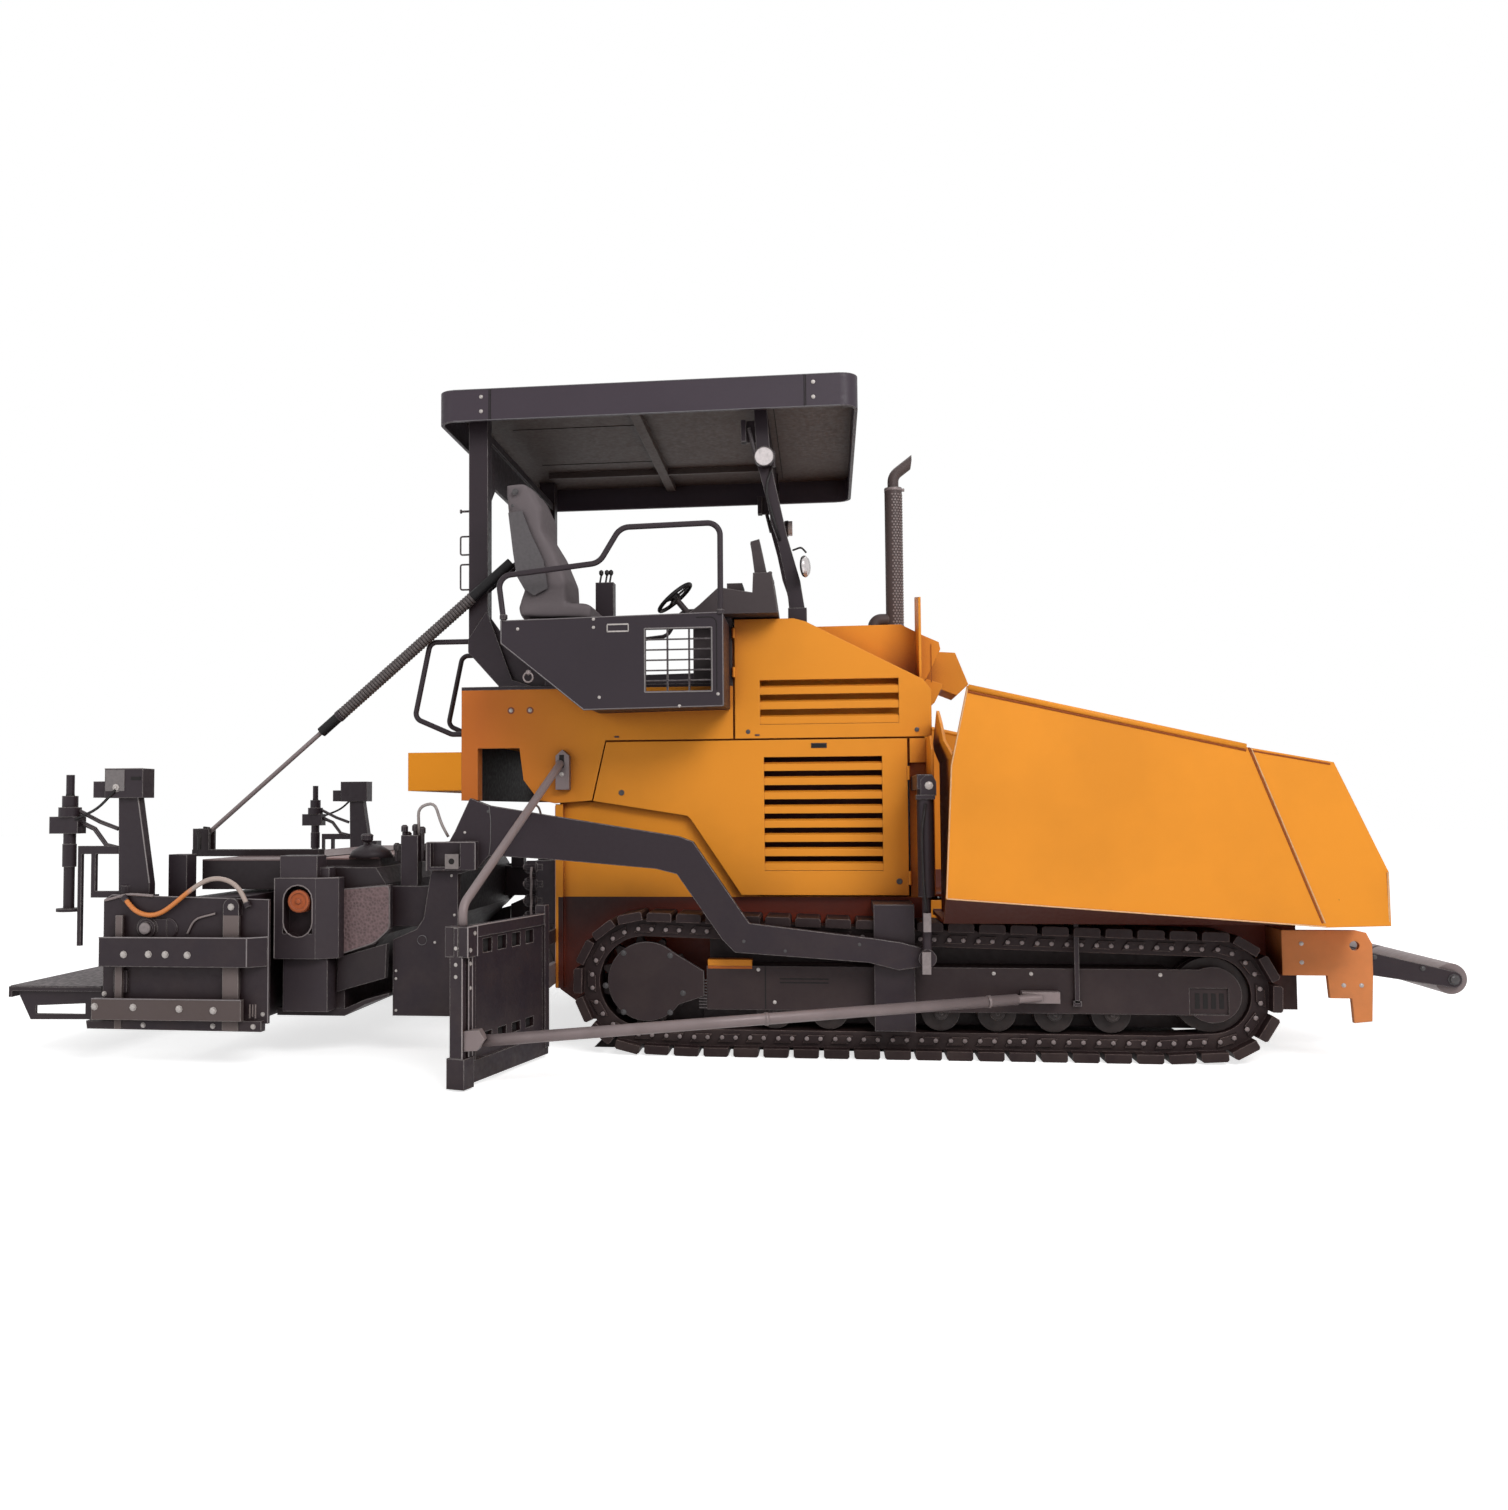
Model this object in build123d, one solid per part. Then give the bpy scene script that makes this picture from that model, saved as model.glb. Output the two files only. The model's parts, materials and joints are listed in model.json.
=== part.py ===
"""Tracked asphalt paver with a telescopic screed.

Frame: +X is the paving direction, from the screed to the hopper, +Y is the
machine's left side and +Z is up. The ground is z = 0, and x = 0, y = 0 is the
middle of the whole machine. All lengths are in millimetres. Left-hand pieces
are modelled and the right-hand ones are their mirror images.
"""
from build123d import *
import math
import os

# ---------------------------------------------------------------- driving dimensions
TRACK_OUT = 1275            # outer face of a track, from the centre line
TRACK_WIDTH = 300
SPROCKET = (-440, 405, 395)     # x, z and outer radius of the track round the sprocket
IDLER = (2650, 360, 345)        # the same round the front idler
TOE_RADIUS = 260                # track radius where it leaves the ground
TOE_X = (-180, 2400)            # first and last point of the track that touches the ground
SHOE_DEPTH = 50
SHOE_COUNT = 50
CHAIN_Y = (1045, 1205)      # the chain that carries the shoes, narrower than they are
TRACK_THICK = 140               # pads, shoes and links together
ROLLER_RADIUS = 105
ROLLER_Z = 250
ROLLER_X = [300 + 305 * i for i in range(7)]

HULL_HALF = 950             # outer face of the main frame, inside the tracks
BODY_HALF = 1000            # outer face of the body sides and doors
DECK_Z = 2120               # operator's floor
SEAM_Z = 1785               # seam between the lower doors and the upper covers
SHEET = 30                  # doors and body sides

WING_HALF = 1600            # outer face of an open hopper wing
WING_PIN = (775, 769)       # y and z of the wing's hinge line

ROOF_X = (-1680, 805)
ROOF_HALF = 1150
ROOF_Z = (3690, 3880)
LINING_Z = 3853             # underside of the roof's lining, where the posts end
RAIL_RADIUS = 16            # handrail tube
SEAT_Y = (880, 1360)        # the right seat, its width measured out from the centre line
WHEEL = (-276, 1000, 2628)  # middle of the steering wheel on the right side
WHEEL_TILT = 39.8           # degrees that the wheel leans back

TOW_PIN = (1130, 570)       # x and z of the pin that the tow arm turns on
ARM_Y = (1318, 1368)
SCREED_HALF = 1400          # main screed, without its end housings
SCREED_Z = 220              # underside of the raised screed
END_PLATE_Y = (1780, 1800)  # inner and outer face of the end plate
END_GATE_Y = (1845, 1880)   # inner and outer face of its lower bar
FITTING_LENGTH = 30
HOSE_RADIUS = 13            # the free hose on the end plate
HOSE_PATH = [(-3207, 1820, 900), (-3168, 1826, 856), (-3113, 1831, 828), (-3053, 1834, 820), (-2994, 1836, 835),
             (-2937, 1837, 872), (-2852, 1836, 942), (-2763, 1833, 1003), (-2704, 1830, 1021), (-2644, 1827, 1018),
             (-2589, 1823, 993), (-2548, 1819, 948), (-2524, 1816, 893)]

AUGER_X, AUGER_Z = -1250, 420
AUGER_PITCH = 300

PUSH_PIN_X = 3390           # the push beam swings about this vertical pin
PUSH_AXLE = (4010, 420)     # x and z of the push rollers
PUSH_ROLLER_RADIUS = 85


# ---------------------------------------------------------------- shape helpers
def outline(points):
    """A closed face in the XY plane from corner points."""
    return make_face(Polyline(*points, close=True))


def side_plate(shape, y_in, y_out):
    """An x-z outline (points or a face) made solid from y_in out to y_out."""
    face = outline(shape) if isinstance(shape, list) else shape
    return Pos(0, y_out, 0) * Rot(90, 0, 0) * extrude(face, y_out - y_in)


def cross_plate(points, x_back, x_front):
    """A y-z outline made solid from x_back to x_front."""
    return Pos(x_back, 0, 0) * extrude(Plane.YZ * outline(points), x_front - x_back)


def block(x_range, y_range, z_range):
    """A rectangular block between two x, two y and two z values."""
    size = [hi - lo for lo, hi in (x_range, y_range, z_range)]
    middle = [(hi + lo) / 2 for lo, hi in (x_range, y_range, z_range)]
    return Pos(*middle) * Box(*size)


def rod(start, end, radius):
    """A round bar between two points."""
    axis = Vector(*end) - Vector(*start)
    return Plane(origin=start, z_dir=axis) * extrude(Circle(radius), axis.length)


def bent_tube(points, radius, bend):
    """A round bar along a path of straight runs with rounded corners."""
    path = FilletPolyline(*points, radius=bend)
    start = Plane(origin=path @ 0, z_dir=path % 0)
    return sweep(start * Circle(radius), path=path)


def thick_line(points, thickness):
    """The x-z outline of a folded sheet, as thick as given, below its points."""
    runs = [(Vector(*end) - Vector(*start)).normalized() for start, end in zip(points, points[1:])]
    below = []
    for i, (x, z) in enumerate(points):
        before = runs[max(i - 1, 0)]
        after = runs[min(i, len(runs) - 1)]
        along = (before + after).normalized()
        reach = thickness / along.dot(before)
        below.append((x + along.Y * reach, z - along.X * reach))
    return outline(points + below[::-1])


def mirrored(shape):
    """The same piece on the machine's right side."""
    return mirror(shape, about=Plane.XZ)


def joined(pieces):
    """Fuse a list of solids."""
    total = pieces[0]
    for piece in pieces[1:]:
        total = total + piece
    return total


def seated(piece, support):
    """The piece cut back to the face of what it stands on or is bolted to."""
    left = (piece - support).solids()
    return max(left, key=lambda solid: solid.volume)


def save(name, *shapes):
    """Write one node."""
    found = [solid for shape in shapes for solid in shape.solids()]
    export_step(found[0] if len(found) == 1 else Compound(found), f"parts/{name}.step")


def save_pair(name, *shapes):
    """Write the left node and its mirror image on the right."""
    save(f"{name}_left", *shapes)
    save(f"{name}_right", *[mirrored(shape) for shape in shapes])


def save_both(name, *shapes):
    """Write one node that holds the left pieces and their mirror images."""
    save(name, *shapes, *[mirrored(shape) for shape in shapes])


# ---------------------------------------------------------------- undercarriage
def track_hull(inset):
    """The loop's outline in x-z, moved in from the shoes' tips."""
    wheels = [SPROCKET, IDLER]
    wheels += [(x, TOE_RADIUS, TOE_RADIUS) for x in TOE_X]
    rims = []
    for x, z, radius in wheels:
        rims.extend((Pos(x, z) * Circle(radius - inset)).edges())
    return make_hull(rims)


def track():
    """One track: a narrow chain that carries full-width shoes."""
    chain = side_plate(track_hull(SHOE_DEPTH - 6) - track_hull(TRACK_THICK), *CHAIN_Y)
    line = track_hull(SHOE_DEPTH / 2).face().outer_wire()
    length = line.length / SHOE_COUNT * 0.84
    half, edge = length / 2, SHOE_DEPTH / 2
    shoe = outline([(-half, -edge), (half, -edge), (half, edge - 10), (half - 10, edge),
                    (10 - half, edge), (-half, edge - 10)])
    middle = ((SPROCKET[0] + IDLER[0]) / 2, TOE_RADIUS)
    ground = outline([(-1000, -100), (-1000, 0), (3200, 0), (3200, -100)])
    shoes = []
    for i in range(SHOE_COUNT):
        place = line @ (i / SHOE_COUNT)
        along = line % (i / SHOE_COUNT)
        turn = math.degrees(math.atan2(along.Y, along.X))
        faces_in = along.X * (middle[1] - place.Y) - along.Y * (middle[0] - place.X) > 0
        turned = Pos(place.X, place.Y) * Rot(0, 0, turn + (180 if faces_in else 0)) * shoe
        shoes.append(side_plate(turned - ground, TRACK_OUT - TRACK_WIDTH, TRACK_OUT))
    return chain.fuse(*shoes)


def track_frame():
    """The beam between sprocket and idler, with its crossbeams to the hull."""
    plate = outline([(-80, 255), (-80, 500), (2600, 500), (2600, 255)]) + Pos(2650, 365) * Circle(150)
    outer = side_plate(plate, 1205, 1230)
    inner = side_plate([(-80, 255), (-80, 690), (2600, 590), (2600, 255)], 1000, 1030)
    slot = side_plate(outline([(2530, 260), (2530, 400), (2730, 400), (2730, 260)]), 1218, 1232)
    top = block((-80, 2430), (1030, 1205), (480, 500))
    crossbeams = [block((x - 90, x + 90), (HULL_HALF, 1000), (300, 480)) for x in (450, 1900)]
    gearbox = Pos(SPROCKET[0], 0, SPROCKET[1]) * Rot(90, 0, 0) * Cylinder(190, 90)
    drive = Pos(0, HULL_HALF + 45, 0) * gearbox
    return joined([outer - slot, inner, top] + crossbeams + [drive])


def wheels():
    """Idler, bottom rollers and carrier rollers on their axles."""
    found = []
    idler_radius = IDLER[2] - TRACK_THICK - 4
    for x, z, radius in [(IDLER[0], IDLER[1], idler_radius)] + [(x, ROLLER_Z, ROLLER_RADIUS) for x in ROLLER_X]:
        wheel = Circle(radius)
        found.append(side_plate(Pos(x, z) * wheel, 1060, 1100) + side_plate(Pos(x, z) * wheel, 1135, 1175)
                     + side_plate(Pos(x, z) * Circle(radius * 0.8), 1100, 1135)
                     + side_plate(Pos(x, z) * Circle(radius * 0.35), 1030, 1205))
    return found


def sprocket():
    """The toothed drive wheel."""
    reach = SPROCKET[2] - TRACK_THICK - 4
    tooth_count = 11
    gear = Circle(reach * 0.86)
    for i in range(tooth_count):
        tooth = outline([(reach * 0.8, -34), (reach, -12), (reach, 12), (reach * 0.8, 34)])
        gear = gear + Rot(0, 0, 360 / tooth_count * i) * tooth
    hub = side_plate(Pos(SPROCKET[0], SPROCKET[1]) * Circle(110), HULL_HALF + 90, 1090)
    return side_plate(Pos(SPROCKET[0], SPROCKET[1]) * gear, 1090, 1150) + hub


def drive_cover():
    """The round guard over the sprocket, with its pointed front."""
    x, z = SPROCKET[0], SPROCKET[1]
    cover = Pos(x + 20, z + 5) * Circle(222) + outline(
        [(x + 20, z + 5), (x + 170, z + 170), (-95, 470), (-95, 330), (x + 180, z - 130)])
    disc = side_plate(cover, 1205, 1240)
    hub = side_plate(Pos(x, z) * Circle(120), 1150, 1205)
    return disc + hub


# ---------------------------------------------------------------- main frame and body
def main_frame():
    """The welded hull: two long side plates, the floor, the front wall and the rear edge flanges."""
    side = side_plate([(-980, 320), (-980, 1430), (-160, 1430), (195, 870), (1170, 870), (1170, 728),
                       (3180, 728), (3180, 250), (-880, 250)], 920, HULL_HALF)
    flange = block((-1000, -955), (920, 985), (330, 1415))
    floor = block((-880, 3000), (-920, 920), (250, 270))
    front_wall = block((3160, 3180), (-920, 920), (270, 728))
    front_floor = block((3000, 3180), (-920, 920), (250, 270))
    return joined([side, flange, mirrored(side), mirrored(flange), floor, front_floor, front_wall])


def conveyor_tunnel():
    """The tunnel under the engine that the mix goes through, from the hopper to the augers."""
    roof = block((-800, 1150), (-920, 920), (840, 860))
    walls = [block((-860, 1150), (y, y + 20), (270, 840)) for y in (-720, 700)]
    return joined([roof] + walls)


def bulkheads():
    """The cross walls behind and before the engine and at the rear of the body."""
    rear_wall = block((-820, -800), (-920, 920), (840, 2100))
    engine_wall = block((40, 60), (-920, 920), (860, 2100))
    fire_wall = cross_plate([(-920, 728), (920, 728), (920, 1780), (690, 2090), (690, DECK_Z), (-690, DECK_Z),
                             (-690, 2090), (-920, 1780)], 1150, 1170)
    return [rear_wall, engine_wall, fire_wall]


def body_side():
    """The fixed side sheet round the rear of the body and under the platform."""
    sheet = side_plate([(-1570, 1440), (-1570, 2100), (62, 2100), (62, 1790), (-695, 1790), (-778, 1435),
                        (-1000, 1420), (-1100, 1440), (-1190, 1560), (-1215, 1750), (-1470, 1750), (-1470, 1440)],
                       BODY_HALF - SHEET, BODY_HALF)
    post = block((-1570, -1470), (BODY_HALF - 100, BODY_HALF - SHEET), (1440, 2100))
    front_strip = block((1078, 1170), (920, BODY_HALF), (1640, SEAM_Z - 5))
    recess = block((1078, 1170), (920, HULL_HALF), (870, 1640))
    web = block((-980, -820), (HULL_HALF, BODY_HALF - SHEET), (1440, 1700))
    inner = block((-980, -820), (900, HULL_HALF), (1430, 2100))
    return [joined([sheet, post, web, inner]), front_strip + recess]


def platform_floor():
    """The operator's deck."""
    deck = block((-1570, 62), (-BODY_HALF, BODY_HALF), (2100, DECK_Z))
    return deck + block((62, 90), (-690, 690), (2100, DECK_Z))


def rear_step():
    """The box across the back of the body."""
    box = block((-1900, -1570), (-BODY_HALF, BODY_HALF), (1500, 1730))
    box = box - block((-1880, -1570), (-BODY_HALF + 20, BODY_HALF - 20), (1520, 1710))
    skirt = block((-1570, -1550), (-900, 900), (1440, 2100))
    return box + skirt


def louvres(x_range, z_range, count):
    """Blades across an opening, each with an upright lip and a sloping web behind it."""
    step = (z_range[1] - z_range[0]) / count
    lip_out, lip_in, web_in = BODY_HALF - 3, BODY_HALF - 12, BODY_HALF - 28
    blades = []
    for i in range(count):
        low = z_range[0] + i * step
        profile = [(lip_out, low + 2), (lip_out, low + step * 0.5), (web_in, low + step * 0.66),
                   (web_in, low + step * 0.56), (lip_in, low + step * 0.42), (lip_in, low + 2)]
        blades.append(cross_plate(profile, x_range[0], x_range[1]))
    return blades


def hinge_knuckles(x, z_ranges):
    """The round hinge barrels along the edge of a door."""
    return [rod((x, BODY_HALF + 4, low), (x, BODY_HALF + 4, high), 10) for low, high in z_ranges]


def side_door():
    """The large lower door with eight louvres."""
    sheet = side_plate([(-690, 1780), (-770, 1432), (-212, 1342), (-190, 1322), (105, 880), (1064, 880),
                        (1064, 1780)], BODY_HALF - SHEET, BODY_HALF)
    x_range, z_range = (240, 920), (1020, 1680)
    hole = block(x_range, (BODY_HALF - SHEET, BODY_HALF), z_range)
    knuckles = hinge_knuckles(1070, [(940, 1020), (1540, 1620)])
    return joined([sheet - hole] + louvres(x_range, z_range, 8) + knuckles)


def upper_door():
    """The upper cover beside the hood, with three louvres."""
    sheet = side_plate([(74, 1790), (74, 2490), (420, 2490), (490, 2470), (1160, 2120), (1205, 2060),
                        (1205, 1790)], BODY_HALF - SHEET, BODY_HALF)
    x_range, z_range = (220, 1020), (1870, 2130)
    hole = block(x_range, (BODY_HALF - SHEET, BODY_HALF), z_range)
    knuckles = hinge_knuckles(68, [(2150, 2210), (2380, 2440)])
    return joined([sheet - hole] + louvres(x_range, z_range, 3) + knuckles)


def hood():
    """The raised engine hood in the middle and its shoulders out to the covers."""
    profile = [(70, DECK_Z), (70, 2480), (1054, 2485), (1190, 2414), (1279, 2373), (1288, 2330), (1205, 2159),
               (1170, DECK_Z)]
    inside = [(90, DECK_Z), (90, 2460), (1050, 2465), (1182, 2396), (1263, 2359), (1266, 2334), (1187, 2168),
              (1148, DECK_Z)]
    shell = side_plate(profile, -690, 690) - side_plate(inside, -670, 670)
    skirt = block((95, 1140), (670, 690), (SEAM_Z + 5, DECK_Z + 10))
    shoulder = side_plate(thick_line([(70, 2480), (420, 2480), (490, 2460), (1160, 2110)], 16), 690, 962)
    return joined([shell, skirt, mirrored(skirt), shoulder, mirrored(shoulder)])


def hood_fin():
    """The upright splash plate at the front corner of the hood."""
    plate = cross_plate([(640, 2125), (950, 2105), (950, 2605), (640, 2655)], 1142, 1156)
    return seated(plate, hood())


def exhaust():
    """Exhaust stack in its perforated sleeve, with a curved, cut-off outlet."""
    x, top = 1059, 3488
    sleeve = rod((x, 0, 2440), (x, 0, top), 57)
    elbow = bent_tube([(x - 20, 0, 2615), (925, 0, 2615), (925, 0, 2483)], 42, 45)
    bend = [(x, 0, top - 20), (x, 0, 3570), (1230, 0, 3700)]
    outlet = bent_tube(bend, 36, 80) - bent_tube(bend, 31, 80)
    cut = side_plate([(1096, 3502), (1170, 3588), (1180, 3660), (1180, 3800), (1400, 3800), (1400, 3502)], -60, 60)
    return seated(joined([sleeve, elbow, outlet - cut]), hood())


def engine():
    """The engine, as one block of its real size."""
    return block((150, 1000), (-420, 420), (860, 1720))


# ---------------------------------------------------------------- operator's platform
def side_panel():
    """The outboard pod of the platform, with its barred window."""
    frame = [(-1200, 2440), (50, 2460), (50, 1940), (-730, 1930), (-1200, 2310)]
    sheet = side_plate(frame, 1480, 1500)
    window = block((-380, -20), (1480, 1500), (2030, 2370))
    bars = [block((-380 + 120 * i - 5, -380 + 120 * i + 5), (1484, 1496), (2030, 2370)) for i in (1, 2)]
    bars += [block((-380, -20), (1484, 1496), (2030 + 57 * i - 4, 2030 + 57 * i + 4)) for i in range(1, 6)]
    bottom = side_plate(thick_line([(-1185, 2345), (-722, 1970), (40, 1980)], 20), BODY_HALF, 1480)
    front = block((26, 46), (BODY_HALF, 1480), (1965, 2450))
    return joined([sheet - window] + bars + [bottom, front])


def handrail():
    """The stepped rail on the pod."""
    y = 1490
    path = [(-1182, 2435), (-1215, 2690), (-640, 2750), (-520, 2945), (35, 2955), (34, 2450)]
    rail = bent_tube([(x, y, z) for x, z in path], RAIL_RADIUS, [70, 90, 90, 70])
    return seated(rail, side_panel())


def seat():
    """Seat cushion and high backrest of the right-hand seat."""
    back = side_plate([(-1204, 3264), (-1091, 3271), (-1011, 3109), (-1000, 2982), (-931, 2863), (-868, 2693),
                       (-860, 2562), (-1125, 2562), (-1102, 2636), (-1145, 2711), (-1166, 2849), (-1193, 3083)],
                      *SEAT_Y)
    cushion = block((-1140, -698), SEAT_Y, (2472, 2560))
    return [mirrored(back), mirrored(cushion)]


def seat_base():
    """The pedestal, the seat plate and the arm box."""
    base = block((-1060, -760), (SEAT_Y[0], BODY_HALF - 5), (DECK_Z, 2440))
    plate = block((-1080, -740), (SEAT_Y[0], SEAT_Y[1] - 20), (2440, 2470))
    bracket = block((-775, -665), (790, SEAT_Y[0]), (2440, 2470))
    arm_box = block((-775, -665), (790, SEAT_Y[0] - 8), (2470, 2755))
    return mirrored(joined([base, plate, bracket, arm_box]))


def console():
    """The steering console in front of the right seat."""
    x, y, z = WHEEL
    pedestal = block((-170, 60), (680, 990), (DECK_Z, 2510))
    top = side_plate([(-190, 2501), (-119, 2554), (-5, 2656), (190, 2621), (195, 2734), (302, 2734), (335, 2501)],
                     660, 1160)
    box = block((35, 125), (820, 1040), (2630, 2698))
    pad = side_plate([(178, 2927), (230, 2941), (273, 2730), (202, 2730)], 900, 1100)
    column = rod((x + 0.64 * 175, y, z - 0.768 * 175), (x + 0.64 * 21, y, z - 0.768 * 21), 18)
    return mirrored(joined([pedestal, top, box, pad, column]))


def steering_wheel():
    """Rim, three spokes and hub, on the console's column."""
    x, y, z = WHEEL
    rim = Torus(118, 12)
    hub = Cylinder(32, 24)
    spokes = [Rot(0, 0, 120 * i) * Pos(65, 0, 0) * Box(100, 20, 10) for i in range(3)]
    wheel = joined([rim, hub] + spokes)
    return Pos(x, -y, z) * Rot(0, -WHEEL_TILT, 0) * wheel


def rear_posts():
    """The two upright rear posts with their feet, and the deep beam under the roof."""
    post = block((-1530, -1413), (895, 985), (2330, LINING_Z))
    foot = side_plate([(-1530, 2330), (-1530, 2410), (-1423, 2570), (-1413, 2570), (-1260, 2160), (-1140, DECK_Z),
                       (-1340, DECK_Z)], 960, 999)
    web = block((-1460, -1440), (-895, 895), (3390, 3640))
    flange = block((-1520, -1425), (-895, 895), (3640, 3690))
    brace = cross_plate([(895, 3200), (895, 3390), (700, 3390)], -1460, -1440)
    left = joined([post, foot, brace])
    return joined([left, mirrored(left), web, flange])


def front_posts():
    """The two leaning front posts and their cross beam."""
    y_range = (880, 952)
    post = side_plate([(395, 2540), (488, 2540), (461, 2717), (389, 2977), (370, 3065), (330, 3250), (295, 3416),
                       (268, LINING_Z), (190, LINING_Z), (215, 3416), (258, 3250), (295, 3065), (325, 2977),
                       (379, 2717)], *y_range)
    foot = block((388, 497), (y_range[0] - 8, y_range[1] + 8), (2400, 2557))
    left = post + seated(foot, hood())
    beam = block((200, 260), (-y_range[0], y_range[0]), (3700, LINING_Z))
    return joined([left, mirrored(left), beam])


def roof():
    """The roof skin with its deep rim, open below."""
    length = ROOF_X[1] - ROOF_X[0]
    middle = (ROOF_X[0] + ROOF_X[1]) / 2
    height = ROOF_Z[1] - ROOF_Z[0]
    outer = extrude(RectangleRounded(length, 2 * ROOF_HALF, 100), height)
    inner = extrude(RectangleRounded(length - 40, 2 * ROOF_HALF - 40, 82), height - 15)
    return Pos(middle, 0, ROOF_Z[0]) * (outer - inner)


def roof_lining():
    """The lining just under the roof skin, with its stiffening ribs."""
    length = ROOF_X[1] - ROOF_X[0] - 40
    middle = (ROOF_X[0] + ROOF_X[1]) / 2
    sheet = Pos(middle, 0, LINING_Z) * extrude(RectangleRounded(length, 2 * ROOF_HALF - 40, 82), 12)
    across = block((-583, -517), (-1100, 1100), (LINING_Z - 45, LINING_Z))
    along = [block(x_range, (640, 670), (LINING_Z - 40, LINING_Z)) for x_range in ((-1400, -583), (-517, 180))]
    return joined([sheet, across] + along)


def work_lights():
    """A round lamp on each front post."""
    near = rod((258, 952, 3450), (258, 1010, 3450), 55)
    far = rod((312, 920, 3450), (372, 920, 3450), 55)
    return [mirrored(near), far]


def rear_rails():
    """The two entry rails at the right rear."""
    loop = [(-1570, 1840), (-1640, 1840), (-1870, 1940), (-1775, 2400), (-1530, 2400)]
    outer = bent_tube([(x, -965, z) for x, z in loop], RAIL_RADIUS, 50)
    inner = bent_tube([(x, -290, z) for x, z in loop[:-1] + [(-1515, 2400), (-1515, DECK_Z)]], RAIL_RADIUS, 50)
    return [outer, inner]


# ---------------------------------------------------------------- hopper and push rollers
def hopper_trough():
    """The fixed middle of the hopper between the wings, with its front lip."""
    wall = block((1170, 3160), (700, 720), (270, 730))
    knuckles = [block((x, x + 120), (720, 756), (700, 730)) for x in (1400, 2200, 3000)]
    lip = side_plate([(3160, 728), (3180, 728), (3310, 900), (3290, 905)], -700, 700)
    left = joined([wall] + knuckles)
    return [left, mirrored(left), lip]


def hopper_apron():
    """The fixed sheets behind the wings, the flap under the hood and the hopper's visor."""
    side = cross_plate([(900, 880), (1330, 905), (1330, 1700), (1250, 1780), (900, 1780)], 1170, 1186)
    flap = side_plate([(1172, 2118), (1206, 2152), (1296, 2120), (1292, 2096), (1250, 2010), (1225, 1992),
                       (1190, 2020)], -690, 690)
    visor = side_plate([(1200, 2376), (1332, 2376), (1426, 2369), (1506, 2165), (1432, 2095), (1200, 2190)],
                       -180, 180)
    visor_space = side_plate([(1200, 2356), (1412, 2349), (1482, 2170), (1428, 2118), (1200, 2208)], -160, 160)
    return [side, mirrored(side), seated(flap, hood()), seated(visor - visor_space, hood())]


def wing_floor():
    """The wing's floor, turned up along its outer edge, higher at the back."""
    sections = []
    for x, rise in ((1215, 900), (3100, 770), (3400, 775)):
        points = [(785, 760), (1440, 760), (1580, rise), (1580, rise + 22), (1432, 778), (785, 778)]
        sections.append(Pos(x, 0, 0) * (Plane.YZ * outline(points)))
    return loft(sections, ruled=True)


def wing_back():
    """The folded sheet that closes a wing at the rear, cut so that the folded wings don't meet."""
    sheet = side_plate(thick_line([(1262, 765), (1262, 1640), (1222, 1740), (1222, 1980)], 16), 800, 1590)
    shape = cross_plate([(800, 768), (1440, 768), (1590, 912), (1590, 1660), (1450, 1770), (1300, 1850),
                         (1200, 1895), (1110, 1928), (800, 1711)], 1200, 1300)
    return sheet & shape


def hopper_wing():
    """One folding hopper wing."""
    skin = side_plate([(1215, 900), (1250, 1600), (1340, 2020), (2510, 1750), (2740, 1680), (3100, 762)],
                      1580, WING_HALF)
    nose = side_plate([(2740, 1680), (3170, 1600), (3420, 1040), (3420, 770), (3100, 762)], 1580, WING_HALF)
    bend = Axis(origin=(3100, WING_HALF, 762), direction=(-360, 0, 918))
    nose = nose.rotate(bend, -4)
    rim = rod((1352, 1588, 2008), (2730, 1588, 1676), 15)
    barrel = rod((1215, WING_PIN[0], WING_PIN[1]), (3400, WING_PIN[0], WING_PIN[1]), 18)
    return joined([skin, nose, wing_back(), wing_floor(), rim, barrel])


def front_bumper():
    """The stepped side plates of the front frame, each with a towing eye."""
    plate = side_plate([(3040, 712), (3050, 470), (3250, 470), (3260, 350), (3370, 350), (3380, 220), (3470, 230),
                        (3480, 470), (3480, 640), (3450, 700), (3400, 712)], 1170, 1200)
    eye = Pos(3390, 0, 630) * Rot(90, 0, 0) * Cylinder(25, 4000)
    web = block((3020, 3050), (HULL_HALF, 1200), (470, 712))
    return joined([plate - eye, web])


def push_pivot():
    """The fixed ears that hold the push beam's pin."""
    ears = [block((3180, 3440), (-90, 90), z_range) for z_range in ((420, 455), (595, 630))]
    return joined(ears + [rod((PUSH_PIN_X, 0, 455), (PUSH_PIN_X, 0, 595), 25)])


def push_beam():
    """The swinging beam with the arms that carry the push rollers."""
    beam = block((PUSH_PIN_X - 45, PUSH_PIN_X + 45), (-900, 900), (462, 588))
    pin_hole = Pos(PUSH_PIN_X, 0, 525) * Cylinder(25.05, 200)
    rounded_end = Pos(PUSH_AXLE[0], PUSH_AXLE[1]) * Circle(45)
    side_outline = outline([(3345, 480), (3345, 580), (3480, 590), (4010, 465), (4010, 375), (3480, 455)])
    side_arm = side_plate(side_outline + rounded_end, 900, 926)
    middle_outline = outline([(3430, 480), (3430, 575), (3480, 580), (4010, 465), (4010, 375), (3480, 465)])
    middle_arm = side_plate(middle_outline + rounded_end, -13, 13)
    cross = block((3620, 3700), (-900, 900), (470, 520))
    return joined([beam - pin_hole, cross, side_arm, mirrored(side_arm), middle_arm])


def push_roller():
    """One smooth roller, turning on its axle between two arms."""
    return rod((PUSH_AXLE[0], 22, PUSH_AXLE[1]), (PUSH_AXLE[0], 891, PUSH_AXLE[1]), PUSH_ROLLER_RADIUS)


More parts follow.
